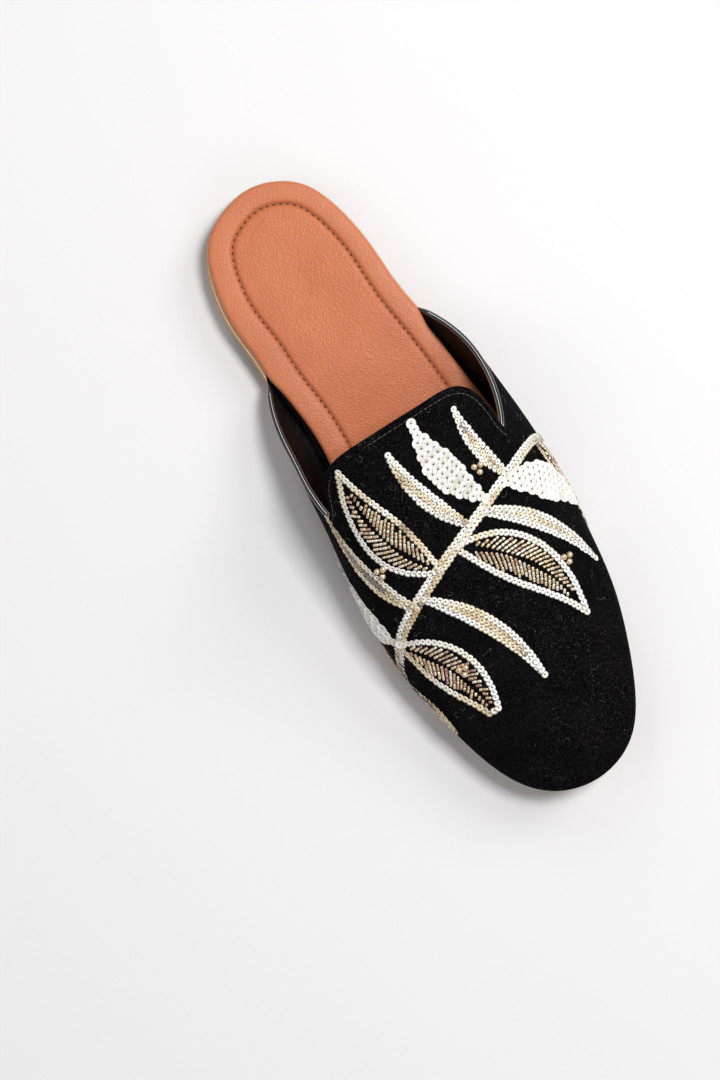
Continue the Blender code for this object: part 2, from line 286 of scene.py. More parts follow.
def addPiece(name, vertices, faces, finish, marks=None, weld=0.000002):
    mesh = bpy.data.meshes.new(name)
    mesh.from_pydata((np.asarray(vertices) + shift).tolist(), [], faces)
    for key, values in (marks or {}).items():           # a number for each vertex, read by the material
        field = mesh.attributes.new(key, "FLOAT", "POINT")
        field.data.foreach_set("value", np.asarray(values, np.float32))
    if weld:
        work = bmesh.new()
        work.from_mesh(mesh)
        bmesh.ops.remove_doubles(work, verts=work.verts, dist=weld)
        bmesh.ops.recalc_face_normals(work, faces=work.faces)
        work.to_mesh(mesh)
        work.free()
    mesh.shade_smooth()
    mesh.materials.append(finish)
    piece = bpy.data.objects.new(name, mesh)
    collection.objects.link(piece)
    return piece


def thicken(piece, thickness):
    shell = piece.modifiers.new("wall", "SOLIDIFY")
    shell.thickness = thickness
    shell.offset = -1
    return piece


# Shading

class Wire:                                             # a socket that can be reckoned with
    def __init__(self, tree, socket=None):
        self.tree, self.socket = tree, socket

    def node(self, kind, settings=None, inputs=None, output=0):
        made = self.tree.nodes.new("ShaderNode" + kind)
        for key, value in (settings or {}).items():
            if key == "stops":
                for stop in value[2:]:
                    made.color_ramp.elements.new(stop[0])
                for element, (position, colour) in zip(made.color_ramp.elements, value):
                    element.position, element.color = position, (*colour, 1)
            else:
                setattr(made, key, value)
        for key, value in (inputs or {}).items():
            if isinstance(value, Wire):
                self.tree.links.new(value.socket, made.inputs[key])
            else:
                made.inputs[key].default_value = value
        return Wire(self.tree, made.outputs[output])

    def math(self, operation, *values):
        return self.node("Math", {"operation": operation}, dict(enumerate(values)))

    def __add__(self, other):
        return self.math("ADD", self, other)

    def __sub__(self, other):
        return self.math("SUBTRACT", self, other)

    def __rsub__(self, other):
        return self.math("SUBTRACT", other, self)

    def __mul__(self, other):
        return self.math("MULTIPLY", self, other)

    def __truediv__(self, other):
        return self.math("DIVIDE", self, other)

    def __rtruediv__(self, other):
        return self.math("DIVIDE", other, self)

    __radd__, __rmul__ = __add__, __mul__

    def between(self, low, high, toLow=0.0, toHigh=1.0):  # a soft step
        return self.node("MapRange", {"interpolation_type": "SMOOTHSTEP"},
                         {0: self, 1: low, 2: high, 3: toLow, 4: toHigh})

    def mix(self, a, b):                                # colours a and b by this mask
        return self.node("Mix", {"data_type": "RGBA"}, {0: self, 6: a, 7: b}, 2)


def newMaterial(name, **fixed):                         # fixed values go on the shader's own sockets
    made = bpy.data.materials.new(name)
    made.use_nodes = True
    shader = made.node_tree.nodes["Principled BSDF"]
    for key, value in fixed.items():
        shader.inputs[key.replace("_", " ")].default_value = value
    start = Wire(made.node_tree)

    def feed(**wires):
        for key, wire in wires.items():
            made.node_tree.links.new(wire.socket, shader.inputs[key.replace("_", " ")])

    return made, start, feed


def colour(r, g, b):
    return (r, g, b, 1.0)


def at(start, stretch=None):                            # the object's own metres
    place = start.node("TexCoord", output="Object")
    if stretch is None:
        return place
    return start.node("VectorMath", {"operation": "MULTIPLY"}, {0: place, 1: stretch})


def mark(start, name):                                  # a number that each vertex carries
    return start.node("Attribute", {"attribute_name": name}, output="Fac")


def noise(start, place, scale, detail=2.0, rough=0.5):
    inputs = {"Vector": place, "Scale": scale, "Detail": detail, "Roughness": rough}
    return start.node("TexNoise", None, inputs)


def cells(start, place, scale, feature="F1"):
    return start.node("TexVoronoi", {"feature": feature}, {"Vector": place, "Scale": scale}, "Distance")


def bump(start, height, strength, distance, under=None):
    inputs = {"Height": height, "Strength": strength, "Distance": distance}
    if under is not None:
        inputs["Normal"] = under
    return start.node("Bump", None, inputs)


velvetLook = {
    "pile": colour(0.0010, 0.0009, 0.0010),
    "paintedSheen": colour(0.0055, 0.0051, 0.0060),              # painted sheen, where the nap is brushed towards the light
    "tips": colour(0.0084, 0.0073, 0.0078),             # the ends of the pile
    "speck": colour(0.22, 0.22, 0.24),
    "sheen": 0.007,
    "napScale": 90,                                     # how fine each pattern is, a metre
    "patchScale": 60,
    "pileScale": 1500,
    "fleckScale": 900,
    "dustScale": 1900,
    "stitchIn": 0.0017,                                 # the tongue's stitched line, in from its edge
    "stitchTrough": 0.0007,
    "seamTrough": 0.0006,
}


def velvetMaterial():
    look = velvetLook
    made, start, feed = newMaterial(
        "black_velvet", Roughness=0.95, Sheen_Weight=look["sheen"], Sheen_Roughness=0.35,
        Sheen_Tint=colour(0.75, 0.75, 0.85), Specular_IOR_Level=0.03)
    place = at(start)
    nap = noise(start, place, look["napScale"], 3).between(0.42, 0.70)
    patch = noise(start, at(start, (1, 0.35, 1)), look["patchScale"], 3).between(0.50, 0.72)
    fine = noise(start, place, look["pileScale"], 2, 0.7)
    flecks = cells(start, place, look["fleckScale"]).between(0.20, 0.08)
    flecks = flecks * noise(start, place, 330, 2).between(0.50, 0.60)
    dust = cells(start, place, look["dustScale"]).between(0.30, 0.12)
    dust = dust * noise(start, place, 700, 2).between(0.46, 0.60)
    dusty = noise(start, place, 34, 2).between(0.44, 0.62)
    # painted sheen on patches of the nap
    base = (nap * 0.35 + patch * 0.35).mix(look["pile"], look["paintedSheen"])
    base = fine.between(0.44, 0.66).mix(base, look["tips"])
    specks = (flecks * 0.55 + dust * 0.30) * (dusty * 0.75 + 0.25)
    stitched = start.math("ABSOLUTE", mark(start, "edgeDistance") - look["stitchIn"])
    trough = stitched.between(0.0, look["stitchTrough"])
    seam = mark(start, "seamDistance").between(0.0, look["seamTrough"])
    feed(Base_Color=specks.mix(base, look["speck"]),
         Normal=bump(start, fine * 0.25 + trough + seam * 0.7, 0.7, 0.0005))
    return made


liningLook = {
    "dark": colour(0.0016, 0.0015, 0.0015),
    "worn": colour(0.0050, 0.0040, 0.0038),
    "grainScale": 1700,
    "foldScale": 150,
}


def liningMaterial():
    look = liningLook
    made, start, feed = newMaterial("black_lining", Specular_IOR_Level=0.14)
    place = at(start)
    grain = cells(start, place, look["grainScale"], "SMOOTH_F1")
    folds = noise(start, at(start, (0.6, 1.6, 1.0)), look["foldScale"], 3, 0.55)
    wear = noise(start, place, 80, 3)
    feed(Base_Color=wear.between(0.35, 0.7).mix(look["dark"], look["worn"]),
         Roughness=wear * 0.18 + 0.28,
         Normal=bump(start, folds + grain * 0.16, 0.7, 0.0014))
    return made


def pipingMaterial():
    made, start, feed = newMaterial(
        "black_piping", Specular_IOR_Level=1.0, Coat_Weight=1.0, Coat_IOR=1.9, Coat_Roughness=0.03)
    grain = noise(start, at(start), 1500, 2)
    base = grain.between(0.3, 0.7).mix(colour(0.003, 0.003, 0.003), colour(0.008, 0.007, 0.007))
    feed(Base_Color=base, Roughness=grain * 0.05 + 0.07, Normal=bump(start, grain, 0.012, 0.0002))
    return made


leatherLook = {
    "tan": colour(0.560, 0.158, 0.056),
    "deep": colour(0.450, 0.112, 0.040),
    # the leather's pink tone, also used as painted sparkle
    "pinkAndSparkle": colour(0.620, 0.245, 0.135),
    # painted shade in the stitched groove
    "stitch": colour(0.17, 0.060, 0.030),
    "grainScale": 1900,
    "pebbleScale": 1500,
    "poreScale": 950,
    "waveScale": 240,
    "groove": 0.0007,                                   # how far the painted shade of the stitched groove reaches each side
}


def insoleMaterial():
    look = leatherLook
    made, start, feed = newMaterial("tan_leather", Specular_IOR_Level=0.30)
    place = at(start)
    grain = cells(start, place, look["grainScale"], "SMOOTH_F1")
    pebble = cells(start, place, look["pebbleScale"], "SMOOTH_F1")
    pores = cells(start, place, look["poreScale"])
    waves = noise(start, place, look["waveScale"], 3)
    cloud = noise(start, place, 38, 4, 0.6)
    groove = start.math("ABSOLUTE", mark(start, "seamDistance")).between(look["groove"], 0.0)
    base = (cloud.between(0.25, 0.80) * 0.6 + 0.2).mix(look["tan"], look["deep"])
    # pink over the rim and on the grain's peaks: partly the leather's own tone, partly painted sparkle
    base = (mark(start, "rim") * 0.22).mix(base, look["pinkAndSparkle"])
    base = (grain.between(0.10, 0.55) * 0.16).mix(base, look["pinkAndSparkle"])
    # painted shade along the stitched groove
    base = (groove * 0.45).mix(base, look["stitch"])
    height = grain * 0.6 + pebble * 0.9 + pores * 0.3 + waves * 0.3
    feed(Base_Color=base, Roughness=cloud * 0.14 + grain * 0.10 + 0.30,
         Normal=bump(start, height, 0.36, 0.0004))
    return made


def soleMaterial(name, pale, dark, layers=0):           # layers is the thickness of one in a stack
    made, start, feed = newMaterial(name, Specular_IOR_Level=0.45)
    place = at(start)
    fibre = noise(start, at(start, (1, 1, 9)), 330, 4, 0.65)
    cloud = noise(start, place, 55, 3)
    tone = fibre.between(0.38, 0.66) * 0.6 + cloud.between(0.4, 0.7) * 0.4
    height = fibre
    if layers:
        up = start.node("SeparateXYZ", None, {0: place}, "Z")
        line = start.math("PINGPONG", up / layers, 0.5).between(0.05, 0.0)
        tone = start.math("MAXIMUM", tone, line)
        height = fibre - line * 2
    feed(Base_Color=tone.mix(pale, dark), Roughness=fibre * 0.2 + 0.34,
         Normal=bump(start, height, 0.3, 0.0003))
    return made


def threadMaterial(name, dark, light, rough=0.6):
    made, start, feed = newMaterial(name, Roughness=rough)
    inputs = {"Vector": at(start), "Scale": 900.0}
    twist = start.node("TexWave", {"bands_direction": "DIAGONAL"}, inputs, "Fac")
    feed(Base_Color=twist.mix(dark, light), Normal=bump(start, twist, 0.5, 0.0001))
    return made


def foilMaterial(name, stops, hole, rim):               # a bright ring with painted shade at its hole and at its rim, where the next one overlaps
    made, start, feed = newMaterial(name, Metallic=0.05, Specular_IOR_Level=0.6)
    ring = mark(start, "ring")
    film = noise(start, at(start), 700, 2)
    # painted shade at the hole and at the overlapped rim
    paintedShade = start.math("MAXIMUM", ring.between(hole * 1.5, hole), ring.between(0.88, 1.0) * rim)
    pale = start.node("ValToRGB", {"stops": stops}, {0: mark(start, "tint")})
    feed(Base_Color=paintedShade.mix(pale, colour(0.10, 0.075, 0.055)),
         Roughness=film * 0.14 + 0.14, Normal=bump(start, film, 0.15, 0.0002))
    return made


def beadMaterial(name, stops):
    made, start, feed = newMaterial(name, Metallic=0.65, Coat_Weight=0.8, Coat_Roughness=0.04)
    ramp = start.node("ValToRGB", {"stops": stops}, {0: mark(start, "tint")})
    streak = noise(start, at(start), 1600, 2)
    feed(Base_Color=ramp, Roughness=streak * 0.16 + 0.12, Normal=bump(start, streak, 0.2, 0.0002))
    return made


tintStops = {                   # from each one's palest tint to its darkest
    "sequin": (
        (0.0, (0.98, 0.97, 0.93)), (0.26, (0.96, 0.92, 0.82)), (0.52, (0.87, 0.74, 0.51)),
        (0.80, (0.62, 0.47, 0.28)), (1.0, (0.26, 0.23, 0.20)),
    ),
    # its darker end is mostly the painted shade of every other row
    "paillette": ((0.0, (0.97, 0.96, 0.93)), (0.5, (0.92, 0.89, 0.83)), (1.0, (0.74, 0.67, 0.58))),
    "bead": (
        (0.0, (0.93, 0.84, 0.68)), (0.40, (0.84, 0.67, 0.45)),
        (0.72, (0.62, 0.42, 0.26)), (1.0, (0.46, 0.25, 0.24)),
    ),
}

looks = {
    "velvet": velvetMaterial(),
    "lining": liningMaterial(),
    "piping": pipingMaterial(),
    "leather": insoleMaterial(),
    "welt": soleMaterial("cream_midsole", colour(0.86, 0.66, 0.40), colour(0.74, 0.50, 0.26)),
    "sole": soleMaterial("natural_sole", colour(0.68, 0.36, 0.15), colour(0.52, 0.25, 0.10)),
    "heel": soleMaterial("stacked_heel", colour(0.42, 0.24, 0.12), colour(0.20, 0.10, 0.045), 0.0017),
    "lift": soleMaterial("black_lift", colour(0.018, 0.016, 0.015), colour(0.035, 0.031, 0.028)),
    "thread": threadMaterial("brown_thread", colour(0.012, 0.007, 0.004), colour(0.050, 0.028, 0.016)),
    "sequin": foilMaterial("cup_sequin", tintStops["sequin"], 0.17, 0.50),
    "paillette": foilMaterial("pearl_paillette", tintStops["paillette"], 0.12, 0.55),
    "bead": beadMaterial("champagne_bead", tintStops["bead"]),
    # near-black holding thread, also painted shade in each hole
    "knotAndHoleShade": threadMaterial("holding_thread_and_hole_shade", colour(0.006, 0.005, 0.004), colour(0.022, 0.017, 0.013)),
    "lint": threadMaterial("grey_lint", colour(0.10, 0.105, 0.12), colour(0.27, 0.28, 0.31), 0.8),
    "blackThread": threadMaterial("black_thread", colour(0.030, 0.030, 0.030), colour(0.15, 0.145, 0.145)),
}
print("materials made")


# Sole, heel and sock: boards between rings round the outline

def stationsTo(last, count):                            # closer together where the outline turns
    turn = np.linspace(0, math.pi if last >= 1 else math.pi / 2, count + 1)
    shares = 1 - np.cos(turn)
    return shares / shares[-1] * last


def ringTo(shares):                                     # places round the outline, medial side first
    toToe = shares[-1] >= 1
    inner = shares[1:-1] if toToe else shares[1:]
    places = [[float(heelIndex)], placeOf("medial", along(inner))]
    places += [[float(toeIndex)]] if toToe else []
    places += [placeOf("lateral", along(inner[::-1]))]
    sides = ["medial"] * (1 + len(inner) + toToe) + ["lateral"] * len(inner)
    return np.concatenate(places), np.array(sides)


def ringRows(places, sides, rows):                      # a ring of points for each (inset, height) row
    points, normals = outlineAt(places)
    shares = shareAt(points[:, 1])
    made = []
    for inset, height in rows:
        by = np.array([inset(s, side) for s, side in zip(shares, sides)]) if callable(inset) else inset
        spot = points - normals * np.reshape(by, (-1, 1))
        made.append(np.column_stack([spot, height(shareAt(spot[:, 1]))]))
    return made


def bridged(faces, size, numberOf):                     # closes a ring, from its medial to its lateral points
    for i in range(size // 2):
        rung = dict.fromkeys(numberOf(k) for k in (i, i + 1, size - i - 1, (size - i) % size))
        if len(rung) > 2:
            faces.append(tuple(rung))


def board(name, last, count, rows, finish):
    places, sides = ringTo(stationsTo(last, count))
    rings = ringRows(places, sides, rows)
    size, faces = len(places), []
    for level in range(len(rings) - 1):
        for i in range(size):
            a, b = level * size + i, level * size + (i + 1) % size
            faces.append((a, b, b + size, a + size))
    for start in (0, (len(rings) - 1) * size):
        bridged(faces, size, lambda k: start + k)
    return addPiece(name, np.concatenate(rings), faces, finish)


outsoleSizes = {
    "round": 0.0008,            # lower edge
    "topRound": 0.4,            # upper edges, by the lower one
    "midsoleRound": 0.6,
    "bulge": 0.00012,
    "midsole": 0.0013,          # the pale layer on top
    "midsoleIn": 0.00045,
    "stations": 150,
}
touch = 0.00002                 # two layers that lie on each other keep this far apart
quarterTurn = np.linspace(0, math.pi / 2, 5)            # the steps of a rounded edge


def makeOutsole():
    s = outsoleSizes
    split, r = shoe["outsole"] - s["midsole"], s["round"]
    rows = [(r * (1 - math.sin(a)), lambda h, a=a: underside(h) + r * (1 - math.cos(a)))
            for a in quarterTurn]
    rows += [(-s["bulge"], lambda h: underside(h) + split * 0.6)]
    top = r * s["topRound"]
    rows += [(top * (1 - math.cos(a)), lambda h, a=a: underside(h) + split - top * (1 - math.sin(a)))
             for a in quarterTurn]
    outsole = board("outsole_leather", 1, s["stations"], rows, looks["sole"])
    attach(outsole, "root")
    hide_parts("outsole")
    inset, edge = s["midsoleIn"], r * s["midsoleRound"]
    rows = [(inset, lambda h: underside(h) + split + touch)]
    rows += [(inset + edge * (1 - math.cos(a)), lambda h, a=a: soleTop(h) - edge * (1 - math.sin(a)))
             for a in quarterTurn]
    midsole = board("midsole_edge", 1, s["stations"], rows, looks["welt"])
    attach(midsole, "root")
    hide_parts("outsole")


heelSizes = {
    "lift": 0.0026,             # rubber top piece on the floor
    "lines": 3,                 # leather layers over it
    "line": 0.00014,            # how deep the lines between the layers are
    "belly": 0.00006,           # how far a layer's middle stands out
    "stations": 60,
}


def makeHeel():
    s, r, taper = heelSizes, shoe["edgeRound"], shoe["heelTaper"]
    rows = [(taper + r * (1 - math.sin(a)), lambda h, a=a: 0 * h + r * (1 - math.cos(a)))
            for a in quarterTurn]
    rows += [(taper * 0.9, lambda h: 0 * h + s["lift"])]
    lift = board("heel_lift", shoe["heelBreast"], s["stations"], rows, looks["lift"])
    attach(lift, "root")
    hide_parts("heel")

    def layer(part, inset):     # part of the way up from the lift to the outsole
        low = s["lift"] + touch
        return inset + taper * 0.9 * (1 - part), lambda h: low + (underside(h) - shoe["gap"] - low) * part

    rows = []
    for i in range(s["lines"]):
        for step, inset in ((0.0, s["line"]), (0.12, 0), (0.5, -s["belly"]), (0.88, 0)):
            rows.append(layer((i + step) / s["lines"], inset))
    rows.append(layer(1.0, s["line"]))
    stack = board("heel_stack", shoe["heelBreast"], s["stations"], rows, looks["heel"])
    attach(stack, "root")
    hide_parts("heel")


sockSizes = {
    "stations": 170,
    "roll": 0.0015,             # rounded edge
    "stitchIn": (               # share, the stitched line in from the sole's outline on each side
        (0.00, 0.0094, 0.0094),
        (0.08, 0.0108, 0.0088),
        (0.20, 0.0120, 0.0090),
        (0.35, 0.0126, 0.0102),
        (0.45, 0.0128, 0.0115),
        (1.00, 0.0130, 0.0120),
    ),
    "grooveWide": 0.0008,
    "grooveDeep": 0.0008,
    "crown": 0.00025,           # how far the padding stands up between edge and stitching
    "dish": 0.0004,             # how far the heel has pressed its middle down
    "middle": 0.00012,          # how far the middle stands up elsewhere
    "inner": 0.0040,            # how far past the stitching the rings go
    "across": 20,
    "stitch": 0.0026,
    "stitchLong": 0.00125,
    "stitchThick": 0.00030,
    "stitchedTo": 0.62,
    "sweep": {"medial": (0.250, 0.296), "lateral": (0.276, 0.318)},  # where its edge draws in for the upper
}


def stitchInset(share, side):
    table = np.array(sockSizes["stitchIn"])
    return hermite(share, table[:, 0], table[:, 1 if side == "medial" else 2])


def sockEdge(share, side):      # the sock's edge in from the outline; it draws in where the upper starts
    low, high = sockSizes["sweep"][side]
    sweep = ease((share - low) / (high - low))
    margin = shoe["lateralMargin"]
    if side == "medial":
        margin += (shoe["medialMargin"] - margin) * ease((share - 0.008) / 0.11)
    lean = 2 * overhang(share, side) / (widestHeight(share) - soleTop(share))
    return margin * (1 - sweep) + (shoe["wall"] * math.hypot(1, lean) + shoe["gap"]) * sweep


def sockDrop(inset, share, side):                       # below the sock's flat top
    s = sockSizes
    fromEdge = inset - sockEdge(share, side)
    toStitch = stitchInset(share, side) - inset
    edge = 0.0
    if fromEdge < s["roll"]:
        edge = s["roll"] - math.sqrt(max(s["roll"] ** 2 - (s["roll"] - fromEdge) ** 2, 0))
    groove = s["grooveDeep"] * math.exp(-(toStitch / s["grooveWide"]) ** 2)
    room = stitchInset(share, side) - sockEdge(share, side)
    crown = s["crown"] * math.sin(math.pi * min(max(fromEdge / room, 0), 1))
    return edge + groove - crown


def makeSock():
    s = sockSizes
    shares = stationsTo(1, s["stations"])
    places, sides = ringTo(shares)
    points, normals = outlineAt(places)
    ringShares = shareAt(points[:, 1])
    base = shoe["gap"] + touch
    top = shoe["gap"] + shoe["insole"]
    chamfer, rimWide = 0.0003, 0.003
    vertices, rims, seams = [], [], []
    fractions = np.concatenate([np.linspace(0, 1, 9) ** 1.6 * 0.5, np.linspace(0.5, 1, 6)[1:]])
    near = np.linspace(-1, 1, 13)[1:]                   # rings closer together over the rolled edge and the groove
    for point, normal, share, side in zip(points, normals, ringShares, sides):
        edge, stitch = sockEdge(share, side), stitchInset(share, side)
        close = 2 * s["grooveWide"]
        insets = list(edge + fractions * (stitch - close - edge)) + list(stitch + near * close)
        insets += list(np.linspace(stitch + close, stitch + s["inner"], 4)[1:])
        column = [(edge + chamfer, base), (edge, base + chamfer), (edge, top - s["roll"] - 0.0001)]
        column += [(inset, top - sockDrop(inset, share, side)) for inset in insets]
        for inset, rise in column:
            spot = point - normal * inset
            vertices.append((*spot, soleTop(shareAt(spot[1])) + rise))
            # the rim's mask, for its pink tone and painted sparkle
            rims.append(float(ease((stitch - inset) / rimWide)))
            seams.append(inset - stitch)
    rows, size = len(column), len(places)
    faces = []
    for i in range(size):
        here, after = i * rows, (i + 1) % size * rows
        faces += [(here + r, after + r, after + r + 1, here + r + 1) for r in range(rows - 1)]
    bridged(faces, size, lambda k: k * rows)            # underside
    grid = {}
    for i in range(size // 2 + 1):                      # across, from the medial inner ring to the lateral
        a, b = i * rows + rows - 1, ((size - i) % size) * rows + rows - 1
        grid[i] = [a]
        if a != b:
            for k in range(1, s["across"]):
                part = k / s["across"]
                spot = np.array(vertices[a]) * (1 - part) + np.array(vertices[b]) * part
                share = shareAt(spot[1])
                bowl = math.sin(math.pi * part) ** 2
                pressed = float(ease((share - 0.052) / 0.07) * ease((0.34 - share) / 0.16))
                spot[2] = soleTop(share) + top + bowl * (s["middle"] - s["dish"] * pressed)
                grid[i].append(len(vertices))
                vertices.append(tuple(spot))
                rims.append(0.0)
                seams.append(s["inner"])
            grid[i].append(b)
        else:
            grid[i] = [a] * (s["across"] + 1)
    for i in range(size // 2):
        for k in range(s["across"]):
            rung = dict.fromkeys((grid[i][k], grid[i + 1][k], grid[i + 1][k + 1], grid[i][k + 1]))
            if len(rung) > 2:
                faces.append(tuple(rung))
    sock = addPiece("padded_sock", vertices, faces, looks["leather"], {"rim": rims, "seamDistance": seams})
    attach(sock, "root")
    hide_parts("insole")
    return sock


makeOutsole()
makeHeel()
sock = makeSock()
print("sole, heel and sock made")


# The upper's skin: one grid from the medial back round the toe to the lateral back

skinSizes = {
    "sideColumns": 150,
    "toeColumns": 84,
    "rows": 62,
    "velvet": 0.0010,
    "lining": 0.0007,
    "trim": 0.0002,             # the cloth ends this far short of the collar's line, under the piping
}


def skinGrid():
    s = skinSizes
    shares = np.linspace(shoe["upperBack"], shoe["toeCentre"], s["sideColumns"])
    medial, lateral = placeOf("medial", along(shares)), placeOf("lateral", along(shares))
    toe = np.linspace(medial[-1], lateral[-1] + len(outline), s["toeColumns"] + 2)[1:-1]
    columns = [(p, "medial") for p in medial]
    columns += [(p, "medial" if p <= toeIndex else "lateral") for p in toe]
    columns += [(p, "lateral") for p in lateral[::-1]]
    return np.array([skinColumn(p, side, s["rows"]) for p, side in columns])


def gridNormals(grid):
    away = np.gradient(grid, axis=0)
    up = np.gradient(grid, axis=1)
    normal = np.cross(up, away)
    flat = np.linalg.norm(normal, axis=2) < 1e-12
    normal[flat] = (0, -0.3, 1)
    normal = unit(normal)
    middle = grid.reshape(-1, 3).mean(axis=0) * (1, 1, 0)
    turn = np.sum(normal * (grid - middle), axis=2).mean() < 0
    return -normal if turn else normal


def collarProfile(side):
    top, tongue = collar[side + "Top"], collar[side + "Tongue"]
    edge = np.concatenate([smoothLine(top, 26), smoothLine(top[-1:] + tongue, 30)[1:]])
    spots = [(along(s), soleTop(s) + h * shoe["tongueHeight"]) for s, h in edge]
    above, below, behind = 2 * shoe["tongueHeight"], -shoe["sideHeight"], along(0) * 1.2
    return np.array(spots + [(spots[-1][0], above), (behind, above), (behind, below), (spots[0][0], below)])


def collarDistance(points):     # from the collar's line seen from the side, above zero on the cloth
    medial, lateral = collarProfile("medial"), collarProfile("lateral")
    middle, spread = (medial + lateral) / 2, (lateral - medial) / shoe["notchWidth"]
    part = (points[:, 0] / shoe["ball"])[:, None, None]
    a = middle + spread * part
    b = np.roll(a, -1, axis=1)
    spot = points[:, None, 1:]
    way = b - a
    share = np.clip(np.sum((spot - a) * way, axis=2) / np.maximum(np.sum(way * way, axis=2), 1e-18), 0, 1)
    away = np.linalg.norm(a + way * share[..., None] - spot, axis=2).min(axis=1)
    crosses = (a[..., 1] > spot[..., 1]) != (b[..., 1] > spot[..., 1])
    rise = np.where(np.abs(way[..., 1]) < 1e-15, 1e-15, way[..., 1])
    left = spot[..., 0] < a[..., 0] + (spot[..., 1] - a[..., 1]) * way[..., 0] / rise
    inside = np.sum(crosses & left, axis=1) % 2 == 1
    return np.where(inside, -away, away)


def clipped(vertices, faces, values):                   # what lies above zero, and the lines of the cut
    rows, new, kept, cuts = list(vertices), {}, [], []

    def crossing(i, j):
        key = (min(i, j), max(i, j))
        if key not in new:
            part = values[key[0]] / (values[key[0]] - values[key[1]])
            new[key] = len(rows)
            rows.append(vertices[key[0]] * (1 - part) + vertices[key[1]] * part)
        return new[key]

    for face in faces:
        signs = [values[i] > 0 for i in face]
        if all(signs):
            kept.append(face)
        elif any(signs):
            shape, cut = [], []
            for k, i in enumerate(face):
                j = face[(k + 1) % len(face)]
                if values[i] > 0:
                    shape.append(i)
                if (values[i] > 0) != (values[j] > 0):
                    spot = crossing(i, j)
                    shape.append(spot)
                    cut.append(spot)
            kept.append(tuple(shape))
            if len(cut) == 2:
                cuts.append(tuple(cut))
    used = sorted({i for face in kept for i in face})
    renumber = {old: i for i, old in enumerate(used)}
    kept = [tuple(renumber[i] for i in face) for face in kept]
    return np.array([rows[i] for i in used]), kept, chains(cuts, rows)


def chains(cuts, rows):                                 # joins the pieces of a cut end to end
    near = {}
    for a, b in cuts:
        near.setdefault(a, []).append(b)
        near.setdefault(b, []).append(a)
    lines, seen = [], set()
    for start in sorted(near, key=lambda i: len(near[i])):
        if start in seen:
            continue
        line, now = [start], start
        seen.add(start)
        while True:
            onward = [i for i in near[now] if i not in seen]
            if not onward:
                break
            now = onward[0]
            seen.add(now)
            line.append(now)
        lines.append(np.array([rows[i] for i in line]))
    return sorted(lines, key=len, reverse=True)


grid = skinGrid()
normals = gridNormals(grid)
columnCount, rowCount = grid.shape[:2]
corners = (0, rowCount, rowCount + 1, 1)
skinFaces = [tuple(c * rowCount + r + corner for corner in corners)
             for c in range(columnCount - 1) for r in range(rowCount - 1)]
skinPoints = grid.reshape(-1, 3)
skinNormals = normals.reshape(-1, 3)
fromCollar = collarDistance(skinPoints)
print("skin laid out,", len(skinPoints), "points")


def collarLine(level):                                  # the line on the cloth this far in from the collar
    rows = np.column_stack([skinPoints, skinNormals])
    lines = clipped(rows, skinFaces, fromCollar - level)[2]
    line = lines[0]
    for other in lines[1:]:                             # the halves meet on the ridge
        if len(other) > 8:
            ends = [(0, 0), (0, -1), (-1, 0), (-1, -1)]
            a, b = min(ends, key=lambda e: np.linalg.norm(line[e[0], :3] - other[e[1], :3]))
            line = np.concatenate([line if a == -1 else line[::-1], other if b == 0 else other[::-1]])
    return line if line[0, 0] < line[-1, 0] else line[::-1]


edgeLine = collarLine(0.0)
half = len(edgeLine) // 2
medialNotch = int(np.argmin(edgeLine[:half, 1]))
lateralNotch = half + int(np.argmin(edgeLine[half:, 1]))
notches = {"medial": edgeLine[medialNotch], "lateral": edgeLine[lateralNotch]}


def seamDistance(points):       # from the side seam, which drops from each notch to the sole
    away = np.full(len(points), 1.0)
    lean = 0.25                 # the seam runs forward as it drops
    for side, sign in (("medial", -1), ("lateral", 1)):
        notch = notches[side]
        line = notch[1] - lean * (notch[2] - points[:, 2])
        here = (np.sign(points[:, 0]) == sign) & (points[:, 2] < notch[2] + skinSizes["trim"])
        away = np.where(here, np.abs(points[:, 1] - line) / math.hypot(1, lean), away)
    return away


def makeSkin(name, depth, thickness, finish):
    inner = skinPoints - skinNormals * depth
    rows = np.column_stack([inner, fromCollar, seamDistance(skinPoints)])
    cut, faces, _ = clipped(rows, skinFaces, fromCollar - skinSizes["trim"])
    marks = {"edgeDistance": cut[:, 3], "seamDistance": cut[:, 4]}
    return thicken(addPiece(name, cut[:, :3], faces, finish, marks), thickness)


velvet = makeSkin("upper_velvet", 0, skinSizes["velvet"], looks["velvet"])
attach(velvet, "root")
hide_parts("upper")
lining = makeSkin("upper_lining", skinSizes["velvet"] + 2 * touch, skinSizes["lining"], looks["lining"])
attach(lining, "root")
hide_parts("upper")
print("upper and lining made")


def sweep(points, normals, profile, scale=None):        # a tube of this profile along the points
    tangent = unit(np.gradient(points, axis=0))
    side = unit(np.cross(tangent, normals))
    up = unit(np.cross(side, tangent))
    scale = np.ones(len(points)) if scale is None else scale
    count = len(profile)
    vertices = [p + (s * x + u * z) * k for p, s, u, k in zip(points, side, up, scale) for x, z in profile]
    faces = tubeFaces(count, len(points))
    faces += [tuple(range(count))[::-1], tuple((len(points) - 1) * count + j for j in range(count))]
    return np.array(vertices), faces


def tubeFaces(count, rings):                            # the sides of a tube, ring after ring
    return [(i * count + j, i * count + (j + 1) % count, (i + 1) * count + (j + 1) % count, (i + 1) * count + j)
            for i in range(rings - 1) for j in range(count)]


def fullTurn(count):
    return np.linspace(0, 2 * math.pi, count, endpoint=False)


def roundProfile(wide, high, count=14):
    return [(wide * math.cos(a), high * math.sin(a)) for a in fullTurn(count)]


